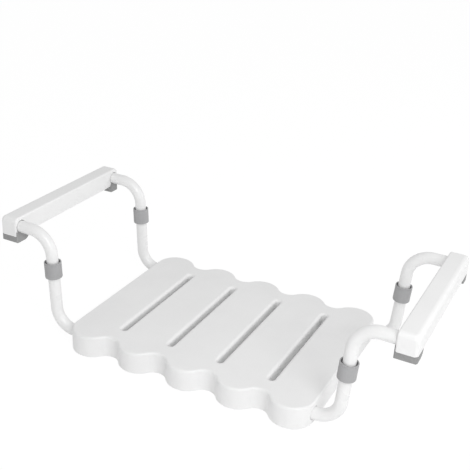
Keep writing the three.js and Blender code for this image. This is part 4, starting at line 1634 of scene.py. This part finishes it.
@dataclass
class Studio:
    """The camera, the floor and the soft light, in metres and watts."""

    eye: Point3 = (0.53526, -1.09851, 0.77527)
    right: Point3 = (0.8886, 0.45569, 0.05235)
    above: Point3 = (-0.23648, 0.35733, 0.90355)
    lens: float = 63.78  # in millimetres
    sensor: float = 36.0  # in millimetres
    clip: Point2 = (0.05, 50.0)
    floor_size: float = 14.0
    floor_drop: float = 0.4  # in millimetres
    floor_tone: float = 0.9
    floor_roughness: float = 0.9
    floor_glow: float = 1.03
    glow_share: float = 0.92  # of the glow in what the eye and mirrors see
    world_strength: float = 0.6
    target: Point3 = (0.0, 0.0, 0.08)  # where the softboxes point
    softboxes: tuple[tuple[Point3, float, float], ...] = (  # place, size and power
        ((1.5, -1.2, 1.0), 0.8, 6.8),
        ((0.7, -0.9, 1.3), 0.8, 7.9),
        ((1.6, 1.3, 1.0), 1.0, 7.3),
    )

    def camera(self) -> None:
        """Puts the camera at the photograph's place."""
        data = bpy.data.cameras.new("camera")
        data.lens = self.lens
        data.sensor_width = self.sensor
        data.clip_start, data.clip_end = self.clip
        right = Vector(self.right).normalized()
        above = (Vector(self.above) - right * right.dot(Vector(self.above))).normalized()
        turn = Matrix((right, above, right.cross(above))).transposed()
        eye = linked(data, "camera")
        eye.matrix_world = Matrix.Translation(self.eye) @ turn.to_4x4()
        bpy.context.scene.camera = eye

    def floor(self) -> None:
        """Lays the pale floor, which shows white to the eye and keeps a faint shadow."""
        form = bmesh.new()
        half = self.floor_size / 2 / MM
        corner_points = [(-half, -half), (half, -half), (half, half), (-half, half)]
        form.faces.new([form.verts.new((x, y, -self.floor_drop)) for x, y in corner_points])
        ground = from_form(form)
        ground.name = "floor"
        sheet = Sheet("floor_white")
        sheet.feed(sheet.shader.inputs["Base Color"], (*[self.floor_tone] * 3, 1))
        sheet.feed(sheet.shader.inputs["Roughness"], self.floor_roughness)
        glow = sheet.add("ShaderNodeEmission", Color=WHITE, Strength=self.floor_glow)
        rays = sheet.add("ShaderNodeLightPath").outputs
        seen = sheet.math("MAXIMUM", rays["Is Camera Ray"], rays["Is Transmission Ray"])
        seen = sheet.math("MAXIMUM", seen, rays["Is Glossy Ray"])
        share = sheet.math("MULTIPLY", seen, self.glow_share)
        sheet.surface("OUTPUT_MATERIAL", share, sheet.shader, glow)
        ground.data.materials.append(sheet.material)

    def light(self) -> None:
        """Sets the even light, the white background and the softboxes."""
        world = bpy.data.worlds.new("studio")
        bpy.context.scene.world = world
        world.use_nodes = True
        sky = Nodes(world.node_tree)
        even = sky.found("BACKGROUND")
        sky.feed(even.inputs["Color"], WHITE)
        sky.feed(even.inputs["Strength"], self.world_strength)
        white = sky.add("ShaderNodeBackground", Color=WHITE, Strength=1.0)
        path = sky.add("ShaderNodeLightPath")
        sky.surface("OUTPUT_WORLD", path.outputs["Is Camera Ray"], even, white)
        for k, (place, size, power) in enumerate(self.softboxes):
            data = bpy.data.lights.new(f"softbox_{k + 1}", "AREA")
            data.energy = power
            data.size = size
            lamp = linked(data, data.name)
            lamp.location = place
            aim = Vector(self.target) - Vector(place)
            lamp.rotation_euler = aim.to_track_quat("-Z", "Y").to_euler()

    def build(self) -> None:
        """Sets up the whole studio."""
        self.camera()
        self.floor()
        self.light()
        bpy.context.scene.view_settings.view_transform = "Standard"


JOINT_SHARES = {End.LEFT: 0.745, End.RIGHT: 0.606}  # the collars sit lower at the right end
SADDLE_SCREW_LENGTH = 15.0


def corners(box: tuple[Vector, Vector]) -> list[list[float]]:
    """A box's two corners as plain lists of numbers."""
    return [list(corner) for corner in box]


def main() -> None:
    """Builds every sub-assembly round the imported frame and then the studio."""
    logging.basicConfig(level=logging.INFO, format="%(name)s: %(message)s")
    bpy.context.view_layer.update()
    board = SeatBoard()
    board.build()
    places, nodes = [], []
    for corner in CORNERS:
        clamp = TubeClamp(corner, board)
        clamp.build()
        places += [(x, y, clamp.seat_height) for x, y in board.screw_spots(corner)]
        nodes += [f"saddle_screw_{corner.label}_{k}" for k in (1, 2)]
    Screws("saddle_screws", "seat", places, nodes, SADDLE_SCREW_LENGTH).build()
    for end in End:
        bar = RimBar(end)
        for side in Side:
            BentLeg(Corner(side, end), bar, JOINT_SHARES[end]).build()
        bar.build()
    Studio().build()


if __name__ == "__main__":
    main()
